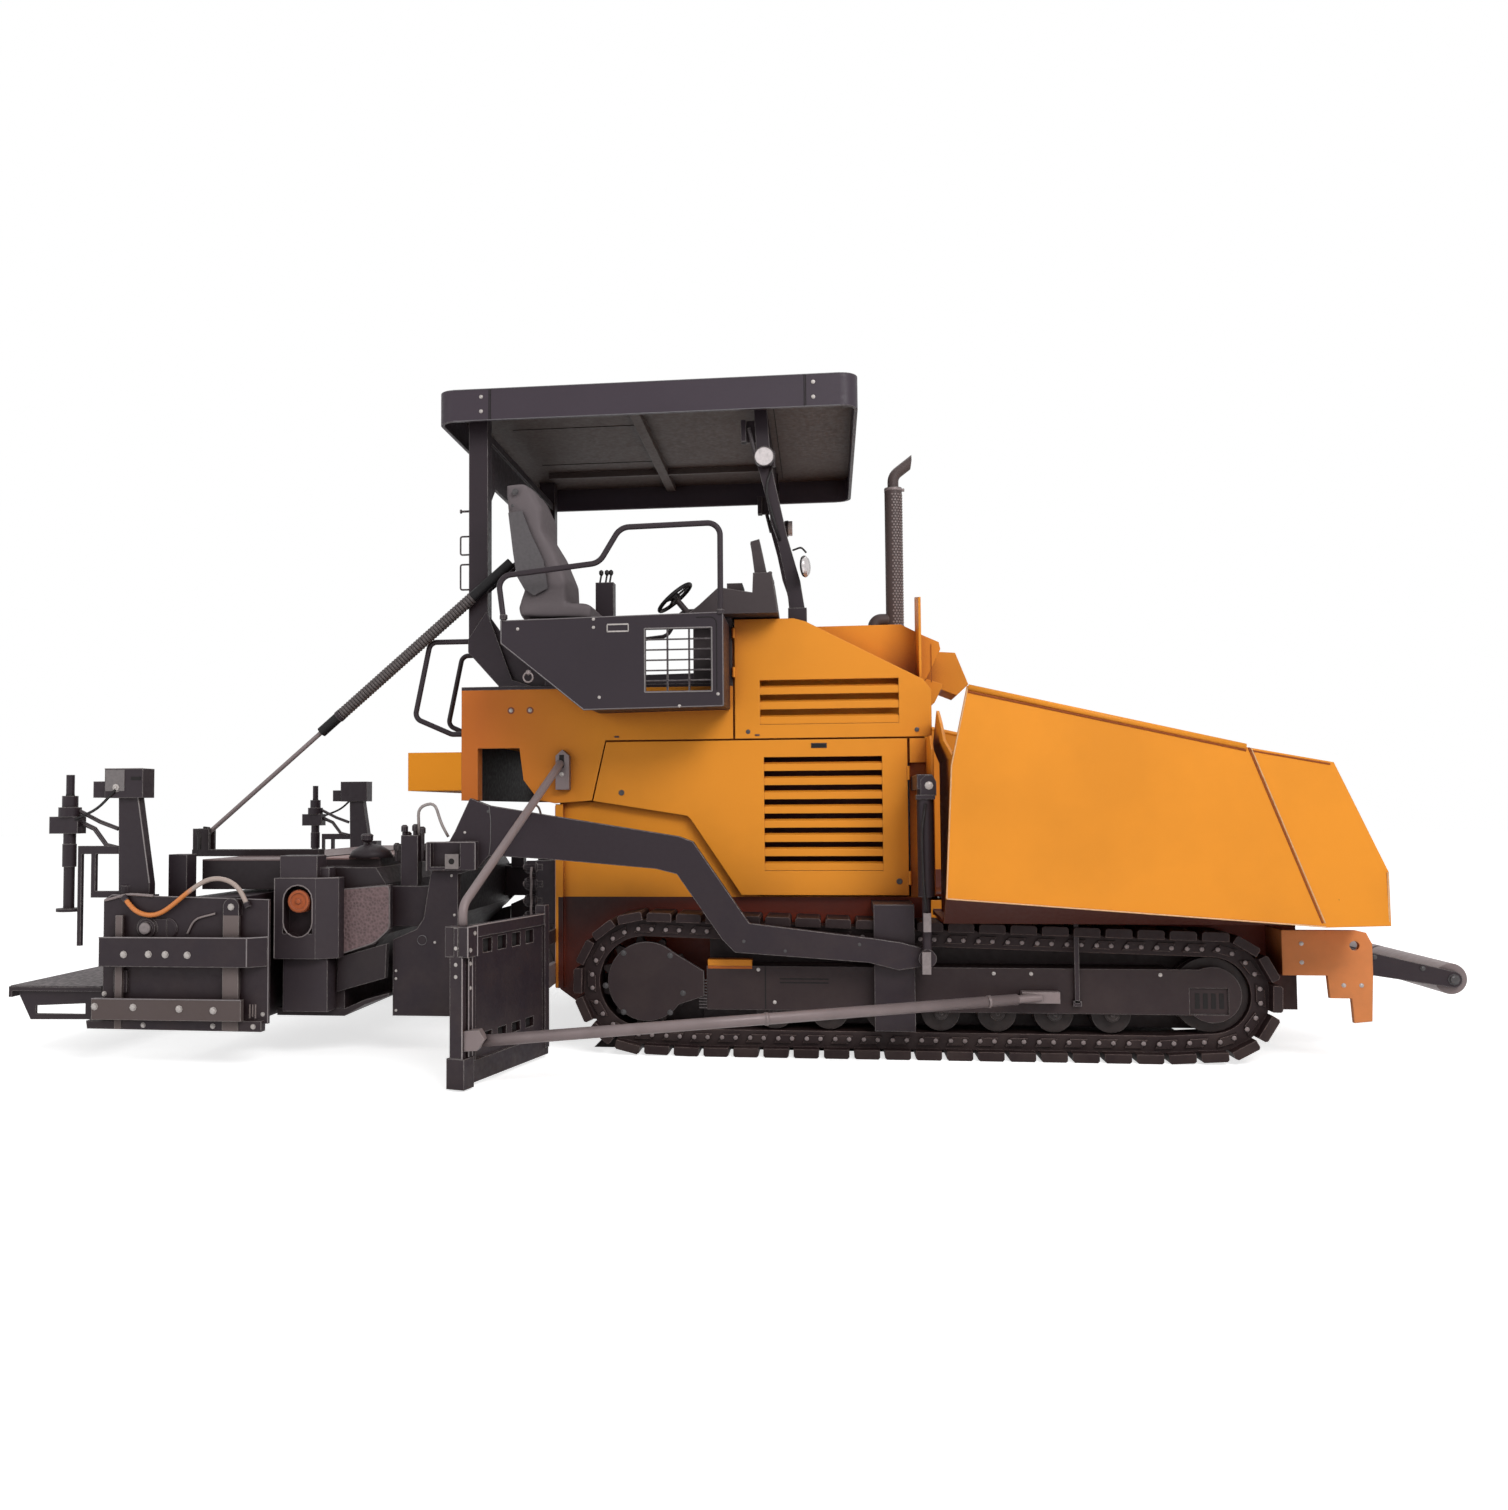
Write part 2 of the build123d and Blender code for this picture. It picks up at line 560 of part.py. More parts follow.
def conveyor():
    """The two slat conveyors that carry the mix back to the augers."""
    found = []
    for y in (-345, 345):
        bed = block((-900, 3100), (y - 320, y + 320), (300, 330))
        slats = [block((x, x + 40), (y - 320, y + 320), (330, 352)) for x in range(-840, 3060, 260)]
        found.append(joined([bed] + slats))
    return found


# ---------------------------------------------------------------- augers and retaining plates
def auger():
    """Shaft with one helical flight."""
    shaft = rod((AUGER_X, 130, AUGER_Z), (AUGER_X, 1190, AUGER_Z), 45)
    coil = Helix(AUGER_PITCH, 1000, 40, center=(0, 0, 0), direction=(0, 0, 1))
    blade = Plane(origin=coil @ 0, x_dir=(1, 0, 0), z_dir=coil % 0) * Pos(72, 0) * Rectangle(156, 14)
    flight = sweep(blade, path=coil, is_frenet=True)
    flight = Pos(AUGER_X, 160, AUGER_Z) * Rot(-90, 0, 0) * flight
    return shaft + flight


def auger_supports():
    """The centre gearbox and the outer bearings that hang from the frame."""
    gearbox = block((-1330, -980), (-90, 90), (280, 700)) + block((-1330, -1170), (-120, 120), (340, 500))
    hanger = block((-1300, -1000), (1200, 1230), (360, 480)) + block((-1030, -1000), (925, 1230), (360, 480))
    return [gearbox, hanger, mirrored(hanger)]


def retaining_plate():
    """The framed plate that holds the mix in beside the auger, swept back."""
    wide = 930
    board = block((-12, 12), (0, wide), (90, 800))
    holes = [block((-20, 20), (y, y + 90), z_range)
             for y in (150, 300, 450, 600) for z_range in ((655, 725), (200, 250))]
    posts = [block((-30, 30), (0, 50), (60, 850)), block((-30, 30), (790, 830), (130, 700)),
             block((-45, 45), (850, 885), (130, 770)), block((-35, 35), (890, wide), (160, 660))]
    head = block((-65, 65), (835, 925), (655, 805))
    rail = block((-24, 24), (0, 850), (740, 800))
    foot = block((-24, 24), (0, wide), (20, 130)) + block((-50, 50), (840, wide + 5), (10, 160))
    panel = joined([board - joined(holes)] + posts + [head, rail, foot])
    swept = Pos(-985, 1350, 0) * Rot(0, 0, 15) * panel
    bracket = block((-1040, -1000), (925, 1360), (600, 680))
    return swept + bracket


def plate_stays():
    """The long brace and the cranked strut that hold the retaining plate."""
    plate = retaining_plate()
    brace = rod((-1200, 2215, 235), (1740, 1290, 350), 22) + block((1640, 1840), (1230, 1300), (320, 380))
    eye = outline([(-1250, 190), (-1250, 290), (-1110, 300), (-1080, 255), (-1120, 200)])
    strut = bent_tube([(-955, 1050, 1655), (-1215, 2165, 905), (-1215, 2165, 800)], 23, 90)
    lug = side_plate([(-985, 1500), (-985, 1700), (-945, 1735), (-905, 1700), (-905, 1500)],
                     BODY_HALF, BODY_HALF + 50)
    return [seated(brace + side_plate(eye, 2185, 2245), plate), seated(strut + lug, plate)]


def tow_point():
    """The outrigger above the track and the plate that guides the tow arm."""
    outrigger = block((850, 1070), (HULL_HALF, 1310), (800, 850))
    guide = block((850, 1070), (1282, 1310), (160, 850))
    return joined([outrigger, guide])


def level_cylinder():
    """The levelling cylinder, hung from the body, with the tow pin at its rod's eye."""
    x, z = TOW_PIN
    y = 1400
    barrel = rod((x, y, 1490), (x, y, 900), 45)
    piston_rod = rod((x, y, 900), (x, y, z), 24)
    eye = side_plate(Pos(x, z) * Circle(48), 1376, 1424)
    pin = rod((x, 1312, z), (x, 1424, z), 30)
    bracket = block((x - 45, x + 35), (HULL_HALF, 1445), (1480, 1560))
    return joined([barrel, piston_rod, eye, pin, bracket])


# ---------------------------------------------------------------- screed
def tow_arm():
    """The cranked arm from the tow pin to the screed, and its rear plate."""
    beam = outline([(-1300, 1408), (-950, 1350), (-220, 1230), (-140, 1200), (170, 750), (850, 670),
                    (990, 650), (1130, 615), (1130, 525), (980, 500), (820, 540), (90, 590), (20, 660),
                    (-230, 1020), (-350, 1050), (-910, 1100), (-1300, 1125)])
    nose = Pos(*TOW_PIN) * Circle(46)
    pin_hole = Pos(*TOW_PIN) * Circle(30.06)
    rear = outline([(-1500, 1260), (-1410, 1450), (-1300, 1408), (-1300, 1125), (-1360, 1060), (-1480, 1020),
                    (-1480, 220), (-1860, 220), (-1860, 650), (-1720, 710), (-1680, 770), (-1640, 1020)])
    arm = side_plate(beam + rear + nose - pin_hole, *ARM_Y)
    bracket = block((-1892, -1640), (1268, ARM_Y[0]), (720, 950))
    valve = block((-1835, -1735), (1230, 1310), (940, 1240))
    pocket = block((-1640, -1365), (ARM_Y[1], 1430), (1045, 1205))
    pocket = pocket - block((-1620, -1450), (ARM_Y[1] + 20, 1430), (1065, 1205))
    return joined([arm, bracket, valve, pocket])


def screed_frame():
    """The main screed's box frame, hollow, across the machine, with the cover behind it."""
    outer = [(-2480, 262), (-2480, 1000), (-2430, 1060), (-1950, 1060), (-1892, 970), (-1892, 680), (-2130, 420),
             (-2130, 262)]
    inner = [(-2460, 282), (-2460, 992), (-2421, 1040), (-1961, 1040), (-1912, 964), (-1912, 688), (-2150, 428),
             (-2150, 282)]
    ring = outline(outer) - outline(inner)
    box = side_plate(ring, -SCREED_HALF, SCREED_HALF)
    ends = [side_plate(outline(inner), y, y + 20) for y in (-SCREED_HALF, SCREED_HALF - 20)]
    cover = side_plate(thick_line([(-2990, 935), (-2990, 1108), (-2440, 1108)], 15), -SCREED_HALF, SCREED_HALF)
    cover_ends = [block((-2985, -2480), (y, y + 15), (935, 1100)) for y in (-SCREED_HALF, SCREED_HALF - 15)]
    step = block((-2450, -2435), (-SCREED_HALF, SCREED_HALF), (1050, 1100))
    end_sheet = side_plate([(-2145, 940), (-1851, 966), (-1850, 719), (-1938, 633), (-2161, 563)],
                           SCREED_HALF, SCREED_HALF + 40)
    lower_sheet = side_plate([(-2161, 554), (-1876, 633), (-1884, 438), (-2169, 358)],
                             SCREED_HALF - 20, SCREED_HALF + 25)
    sheets = [end_sheet, lower_sheet, mirrored(end_sheet), mirrored(lower_sheet)]
    return joined([box, cover, step] + ends + cover_ends + sheets)


def sole_plate():
    """The smoothing plate under the main screed, with its rising front lip."""
    flat = block((-2530, -2130), (-SCREED_HALF, SCREED_HALF), (SCREED_Z, SCREED_Z + 42))
    lip = side_plate([(-2130, 220), (-2009, 285), (-1870, 335), (-1870, 352), (-2015, 312), (-2130, 262)],
                     -SCREED_HALF, SCREED_HALF)
    return flat + lip


def screed_end():
    """The end housing of the main screed with the guide tube's arched opening."""
    plan = outline([(-2470, SCREED_HALF), (-2470, 1580), (-2232, 1580), (-2120, 1520), (-2120, 1442), (-2168, 1442),
                    (-2168, SCREED_HALF)])
    shell = Pos(0, 0, 560) * extrude(plan, 450)
    arch = outline([(-2420, 700), (-2420, 895), (-2250, 895), (-2250, 700)])
    arch = arch + Pos(-2335, 765) * Circle(85) + Pos(-2335, 885) * Circle(85)
    shell = shell - side_plate(arch, 1500, 1600)
    lower = block((-2440, -2180), (SCREED_HALF, 1530), (262, 560))
    top_box = block((-2443, -2227), (1440, 1570), (1010, 1134)) + block((-2227, -2173), (1440, 1530), (1010, 1065))
    return joined([shell, lower, top_box])


def guide_tube():
    """The guide tube's end cap in the arched opening."""
    return rod((-2330, 1500, 880), (-2330, 1575, 880), 64)


def screed_covers():
    """Deck boxes on the main screed."""
    return block((-2380, -1980), (-1250, 1250), (1060, 1110))


def extension_frame():
    """The box of the sliding extension, behind the main screed."""
    outer = [(-2990, 262), (-2990, 900), (-2560, 920), (-2560, 262)]
    inner = [(-2970, 282), (-2970, 881), (-2580, 899), (-2580, 282)]
    ring = outline(outer) - outline(inner)
    box = side_plate(ring, 380, 1780)
    ends = [side_plate(outline(inner), y, y + 20) for y in (380, 1760)]
    sole = block((-2990, -2560), (380, 1780), (SCREED_Z, 262))
    return joined([box, sole] + ends)


def end_gate():
    """The end plate with its two bars, its height rods and its ski."""
    plate = side_plate([(-3350, 240), (-3350, 900), (-3300, 930), (-2400, 905), (-2400, 240)], *END_PLATE_Y)
    ski = side_plate([(-3427, 248), (-2425, 258), (-2425, 200), (-3420, 205)], END_PLATE_Y[0], 1830)
    bar_in, bar_out = END_GATE_Y[0] - 10, END_GATE_Y[1]
    upper_plan = outline([(-3328, bar_in), (-3328, bar_out), (-2487, bar_out), (-2403, 1806), (-2403, 1800),
                          (-2418, 1800), (-2500, bar_in)])
    upper = Pos(0, 0, 548) * extrude(upper_plan, 157)
    lower = block((-3366, -2517), END_GATE_Y, (262, 375))
    rods = [block((x - half, x + half), (1815, bar_in), (205, 820)) for x, half in ((-3240, 20), (-2599, 45))]
    cap_outline = outline([(-2644, 820), (-2644, 870), (-2554, 870), (-2554, 820)]) + Pos(-2599, 870) * Circle(45)
    cap = side_plate(cap_outline, END_PLATE_Y[1], bar_in)
    spacers = [block((x - 40, x + 40), (END_PLATE_Y[1], 1815), (400, 520)) for x in (-3240, -2599)]
    ties = [block((x - 20, x + 20), (bar_in, END_GATE_Y[0]), (265, 372)) for x in (-3240, -2599)]
    return joined([plate, ski, upper, lower, cap] + rods + spacers + ties + hose_fittings())


def extension_walkway():
    """The tread behind the extension, on its slotted brackets."""
    tread = block((-4041, -3480), (400, 1600), (370, 395)) + block((-4041, -4021), (400, 1600), (335, 370))
    side = outline([(-3990, 340), (-3990, 370), (-2990, 385), (-2990, 275), (-3539, 211), (-3922, 206)])
    window = outline([(-3890, 240), (-3890, 285), (-3590, 300), (-3590, 240)])
    brackets = [side_plate(side - window, y, y + 15) for y in (620, 1560)]
    return joined([tread] + brackets)


def control_stand():
    """The screed operator's tapered post with its head, and the width crank beside it."""
    post = side_plate([(-3313, 1480), (-3200, 1480), (-3126, 985), (-3126, 925), (-3306, 925)], 1670, 1730)
    head = block((-3379, -3155), (1640, 1760), (1462, 1625)) + block((-3458, -3379), (1670, 1740), (1464, 1555))
    shelf = block((-3320, -2996), (1440, 1780), (865, 895)) + block((-3320, -3110), (1655, 1745), (895, 925))
    column = block((-3109, -3000), (1450, 1560), (880, 1142))
    bars = [block((-3560, -3300), (1690, 1715), (1150, 1196)), block((-3481, -3455), (1690, 1715), (908, 1160)),
            block((-3481, -3300), (1690, 1715), (908, 945)), block((-3560, -3538), (1690, 1715), (640, 1160))]
    spindle = [((840, 1079), 29), ((1079, 1207), 37), ((1207, 1272), 33), ((1357, 1412), 60), ((1412, 1476), 42),
               ((1476, 1594), 22)]
    crank = [rod((-3620, 1700, low), (-3620, 1700, high), radius) for (low, high), radius in spindle]
    crank += [block((-3718, -3548), (1660, 1740), (1265, 1360)), rod((-3620, 1700, 830), (-3620, 1700, 848), 65)]
    return joined([post, head, shelf, column] + bars + crank)


def hose_bends():
    """The radius of the arc at each inner point of the hose's route, as large as its runs allow."""
    runs = [Vector(*end) - Vector(*start) for start, end in zip(HOSE_PATH, HOSE_PATH[1:])]
    radii = []
    for before, after in zip(runs, runs[1:]):
        half_turn = math.radians(before.get_angle(after) / 2)
        radii.append(0.45 * min(before.length, after.length) / math.tan(half_turn))
    return radii


def screed_hose():
    """The free hose that arches over from one end of the end plate to the other."""
    radii = hose_bends()
    print("hose bends", [round(radius) for radius in radii])
    hose = bent_tube(HOSE_PATH, HOSE_RADIUS, radii)
    print("hose length", round(hose.volume / (math.pi * HOSE_RADIUS ** 2)))
    return hose


def hose_fittings():
    """The two short fittings that the hose's ends meet, each on a boss of the end plate."""
    fittings = []
    for end, inner in ((HOSE_PATH[0], HOSE_PATH[1]), (HOSE_PATH[-1], HOSE_PATH[-2])):
        back = (Vector(*end) - Vector(*inner)).normalized()
        middle = Vector(*end) + back * (FITTING_LENGTH / 2)
        fittings.append(rod(end, tuple(Vector(*end) + back * FITTING_LENGTH), HOSE_RADIUS + 4))
        fittings.append(rod((middle.X, END_PLATE_Y[1] - 10, middle.Z), tuple(middle), 10))
    return fittings


def main_walkway():
    """The fixed tread in the middle, under the sliding ones."""
    tread = block((-4006, -3480), (-380, 380), (325, 350))
    arms = [block((-3480, -2480), (y, y + 15), (290, 345)) for y in (-15, 0)]
    return joined([tread] + arms)


# ---------------------------------------------------------------- telescopic stay
STAY_TOP = (-1208, -1065, 2885)
STAY_FOOT = (-3227, -900, 1238)


def stay_point(share):
    """A point on the stay's line, from its top (0) to its foot (1)."""
    return tuple(a + (b - a) * share for a, b in zip(STAY_TOP, STAY_FOOT))


def stay_barrel():
    """The bellows-covered barrel of the stay."""
    return rod(stay_point(0.02), stay_point(0.62), 32)


def stay_rod():
    """The stay's rod down to its eye."""
    return rod(stay_point(0.621), stay_point(0.99), 14)


def stay_bracket():
    """The arm and ears on the screed that the stay's eye meets."""
    x, y, _ = STAY_FOOT
    arm = block((x - 70, -2480), (y - 44, y + 44), (1108, 1150))
    ears = [block((x - 65, x + 40), (low, low + 20), (1150, 1279)) for low in (y - 44, y + 24)]
    return joined([arm] + ears)


def stay_mount():
    """The arm along the stay from the rear post to the pin of its upper eye."""
    x, y, z = STAY_TOP
    arm = rod((-1425, -962, z - 177), (x, -962, z), 22)
    pin = rod((x, -962, z), (x, y - 10, z), 14)
    return arm + pin


# ---------------------------------------------------------------- write every node
def main():
    os.makedirs("parts", exist_ok=True)
    save_pair("track", track())
    save_both("track_frames", track_frame(), drive_cover())
    save_both("track_rollers", *wheels(), sprocket())
    save("main_frame", main_frame())
    save("conveyor_tunnel", conveyor_tunnel())
    save("bulkheads", *bulkheads())
    save_both("body_sides", *body_side())
    save("platform_floor", platform_floor())
    save("rear_step", rear_step())
    save_pair("side_door", side_door())
    save_pair("upper_door", upper_door())
    save("hood", hood(), hood_fin(), mirrored(hood_fin()))
    save("exhaust_stack", exhaust())
    save("engine", engine())
    save_both("side_panels", side_panel())
    save("handrails", handrail(), mirrored(handrail()), *rear_rails())
    save("seats", *seat())
    save("seat_bases", seat_base())
    save("console", console())
    save("steering_wheel", steering_wheel())
    save("rear_posts", rear_posts(), stay_mount())
    save("front_posts", front_posts())
    save("roof", roof())
    save("roof_lining", roof_lining())
    save("work_lights", *work_lights())
    save("hopper", *hopper_trough(), *hopper_apron())
    save_pair("hopper_wing", hopper_wing())
    save("front_bumper", front_bumper(), mirrored(front_bumper()), push_pivot())
    save("push_beam", push_beam())
    save_pair("push_roller", push_roller())
    save("conveyor", *conveyor())
    save_pair("auger", auger())
    save("auger_supports", *auger_supports())
    save_both("retaining_plates", retaining_plate())
    save_both("plate_stays", *plate_stays())
    save_both("tow_points", tow_point())
    save_both("level_cylinders", level_cylinder())
    save_both("tow_arms", tow_arm())
    save("screed_frame", screed_frame(), sole_plate(), screed_covers(), stay_bracket())
    save_both("screed_ends", screed_end())
    save_both("guide_tubes", guide_tube())
    save_pair("extension_frame", extension_frame())
    save_pair("end_gate", end_gate())
    save_pair("extension_walkway", extension_walkway())
    save_pair("control_stand", control_stand())
    save_pair("screed_hose", screed_hose())
    save("main_walkway", main_walkway())
    save("stay_barrel", stay_barrel())
    save("stay_rod", stay_rod())


if __name__ == "__main__":
    main()
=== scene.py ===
"""Looks of a tracked asphalt paver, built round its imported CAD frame.

Pieces are written in millimetres in the CAD's own frame: +X is the paving
direction, +Y is the machine's left and +Z is up. A pair of pieces is written for
the left side and mirrored to the right.
"""
import json
import math
import random

import bmesh
import bpy
from mathutils import Matrix, Vector


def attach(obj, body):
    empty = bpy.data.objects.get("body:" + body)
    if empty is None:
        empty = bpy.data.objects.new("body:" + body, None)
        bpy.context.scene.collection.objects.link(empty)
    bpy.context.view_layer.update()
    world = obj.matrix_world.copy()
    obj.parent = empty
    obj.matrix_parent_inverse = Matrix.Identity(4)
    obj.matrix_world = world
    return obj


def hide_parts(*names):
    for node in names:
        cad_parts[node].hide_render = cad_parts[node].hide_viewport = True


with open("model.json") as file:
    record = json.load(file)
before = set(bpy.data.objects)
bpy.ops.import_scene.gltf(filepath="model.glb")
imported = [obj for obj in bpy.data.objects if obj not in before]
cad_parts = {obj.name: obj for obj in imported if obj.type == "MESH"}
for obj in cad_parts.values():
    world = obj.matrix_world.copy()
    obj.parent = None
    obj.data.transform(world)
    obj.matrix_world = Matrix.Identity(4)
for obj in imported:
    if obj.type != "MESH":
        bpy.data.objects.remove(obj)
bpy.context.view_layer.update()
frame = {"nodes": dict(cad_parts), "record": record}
NODES = frame["nodes"]
RECORD = frame["record"]
BODY_OF = {name: body for body, nodes in RECORD["behaviour"]["bodies"].items() for name in nodes}
MM = 0.001
AHEAD, BACK, LEFT, RIGHT, UP = (1, 0, 0), (-1, 0, 0), (0, 1, 0), (0, -1, 0), (0, 0, 1)

# ---------------- colours (linear)
ORANGE = (0.8, 0.285, 0.022)
ORANGE_SHADE = (0.5, 0.13, 0.018)
# Painted shade colours for the recesses of orange paint.
ORANGE_HOLLOW_SHADE = (0.22, 0.028, 0.006)
REAR_HOLLOW_SHADE = (0.12, 0.014, 0.005)
# Painted shade that darkens the body toward its back, beneath the pod and roof.
REAR_PAINTED_SHADE = (0.58, 0.155, 0.022)
RUSTY_ORANGE = (0.5, 0.12, 0.04)
CHARCOAL = (0.027, 0.0185, 0.0235)
BLACK = (0.007, 0.006, 0.007)
TRACK_BROWN = (0.017, 0.008, 0.0085)
# Painted shade on the hull's sides behind the tracks.
HULL_BEHIND_TRACK_SHADE = (0.017, 0.004, 0.0038)
DEEP_SHADE = (0.012, 0.004, 0.004)
DUST = (0.075, 0.052, 0.046)
PALE_STEEL = (0.46, 0.42, 0.4)
WORN_STEEL = (0.25, 0.2, 0.2)
SEAT_GREY = (0.145, 0.122, 0.128)
LINING_BROWN = (0.1, 0.078, 0.072)
LAMP_GLASS = (0.66, 0.6, 0.6)
HOSE_ORANGE = (0.66, 0.21, 0.045)
HOSE_BEIGE = (0.42, 0.33, 0.29)
FLOOR_GREY = (0.8, 0.8, 0.8)
FLOOR_SHADE = (0.03, 0.02, 0.02)
WHITE = (1, 1, 1, 1)

# ---------------- shapes shared with the CAD
# Outer faces on the left side, as distances from the middle.
BODY_SIDE = 1000
POD_SIDE = 1500
ROOF_SIDE = 1150
FRAME_SIDE = 1230
TRACK_COVER = 1240
ARM_SIDE = 1368
POCKET_SIDE = 1431
PANEL_SIDE = 1440
VISOR_SIDE = 1580
WING_SIDE = 1600
STAND_SIDE = 1760
GATE_SIDE = 1800
END_BAR = 1880
HOOD_TOP = 2484
DECK_TOP = 1108
STACK_X = 1059                  # the exhaust's upright axis
LAMP_RIGHT = Vector((258, -960, 3450))
LAMP_LEFT = Vector((318, 920, 3450))
STAY_TOP = Vector((-1208, -1065, 2885))
STAY_FOOT = Vector((-3227, -900, 1238))
PLATE_HINGE = (-985, 1350)      # where a retaining plate starts
PLATE_TURN = math.radians(15)   # how far it sweeps back
HOSE_RADIUS = 13
HOSE_ROUTE = [(-3207, 1820, 900), (-3168, 1826, 856), (-3113, 1831, 828), (-3053, 1834, 820),
              (-2994, 1836, 835), (-2937, 1837, 872), (-2852, 1836, 942), (-2763, 1833, 1003),
              (-2704, 1830, 1021), (-2644, 1827, 1018), (-2589, 1823, 993), (-2548, 1819, 948),
              (-2524, 1816, 893)]


def new_material(name, rough=None, metal=0.0):
    """A material with its tree, its shader and its object coordinates."""
    material = bpy.data.materials.new(name)
    material.use_nodes = True
    tree = material.node_tree
    shader = tree.nodes["Principled BSDF"]
    shader.inputs["Metallic"].default_value = metal
    if rough is not None:
        shader.inputs["Roughness"].default_value = rough
    return material, tree, shader, node(tree, "ShaderNodeTexCoord").outputs["Object"]


def node(tree, kind, **values):
    """A new shader node with its settings, and its inputs' values by number as in_0, in_1."""
    made = tree.nodes.new(kind)
    for key, value in values.items():
        if key.startswith("in_"):
            made.inputs[int(key[3:])].default_value = value
        else:
            setattr(made, key, value)
    return made


def wire(tree, *pairs):
    """Link outputs to inputs."""
    for output, target in pairs:
        tree.links.new(output, target)


def feed(tree, socket, value):
    """Give a socket an output to follow, or a number or a colour to hold."""
    if isinstance(value, bpy.types.NodeSocket):
        tree.links.new(value, socket)
    elif isinstance(value, (int, float)):
        socket.default_value = value
    else:
        socket.default_value = (*value, 1)


def mixed(tree, factor, first, second):
    """A colour mix of outputs or values."""
    mix = node(tree, "ShaderNodeMix", data_type="RGBA")
    for number, value in ((0, factor), (6, first), (7, second)):
        feed(tree, mix.inputs[number], value)
    return mix.outputs[2]


def sums(tree, operation, first, second, clamp=False):
    """One Math node on outputs or numbers."""
    maths = node(tree, "ShaderNodeMath", operation=operation, use_clamp=clamp)
    feed(tree, maths.inputs[0], first)
    feed(tree, maths.inputs[1], second)
    return maths.outputs[0]


def product(tree, *values):
    """The values multiplied together, one after another."""
    total = values[0]
    for value in values[1:]:
        total = sums(tree, "MULTIPLY", total, value)
    return total


def ramp(tree, value, low, high, low_out=0.0, high_out=1.0):
    """A clamped straight map of a value."""
    span = node(tree, "ShaderNodeMapRange", in_1=low, in_2=high, in_3=low_out, in_4=high_out)
    tree.links.new(value, span.inputs[0])
    return span.outputs[0]


def noise(tree, where, scale, detail):
    """Fractal noise over object coordinates."""
    made = node(tree, "ShaderNodeTexNoise")
    made.inputs["Scale"].default_value = scale
    made.inputs["Detail"].default_value = detail
    tree.links.new(where, made.inputs["Vector"])
    return made.outputs["Fac"]


def split(tree, where):
    """The x, y and z outputs of a coordinate."""
    made = node(tree, "ShaderNodeSeparateXYZ")
    wire(tree, (where, made.inputs[0]))
    return made.outputs


def bumps(tree, height, strength, distance):
    """A bump node over a height."""
    made = node(tree, "ShaderNodeBump")
    made.inputs["Strength"].default_value = strength
    made.inputs["Distance"].default_value = distance
    wire(tree, (height, made.inputs["Height"]))
    return made


def inside_box(tree, axes, low, high):
    """1 inside a box given in millimetres, 0 outside; the y range is the same on both sides."""
    found = []
    for axis, (start, end) in enumerate(zip(low, high)):
        value = sums(tree, "ABSOLUTE", axes[axis], 0) if axis == 1 else axes[axis]
        near = sums(tree, "COMPARE", value, (start + end) / 2 * MM)
        near.node.inputs[2].default_value = (end - start) / 2 * MM
        found.append(near)
    return product(tree, *found)


def direct_rays(tree):
    """1 for the rays that show a background: camera, glossy and transmission rays."""
    rays = node(tree, "ShaderNodeLightPath").outputs
    seen = sums(tree, "MAXIMUM", rays["Is Camera Ray"], rays["Is Glossy Ray"])
    return sums(tree, "MAXIMUM", seen, rays["Is Transmission Ray"])


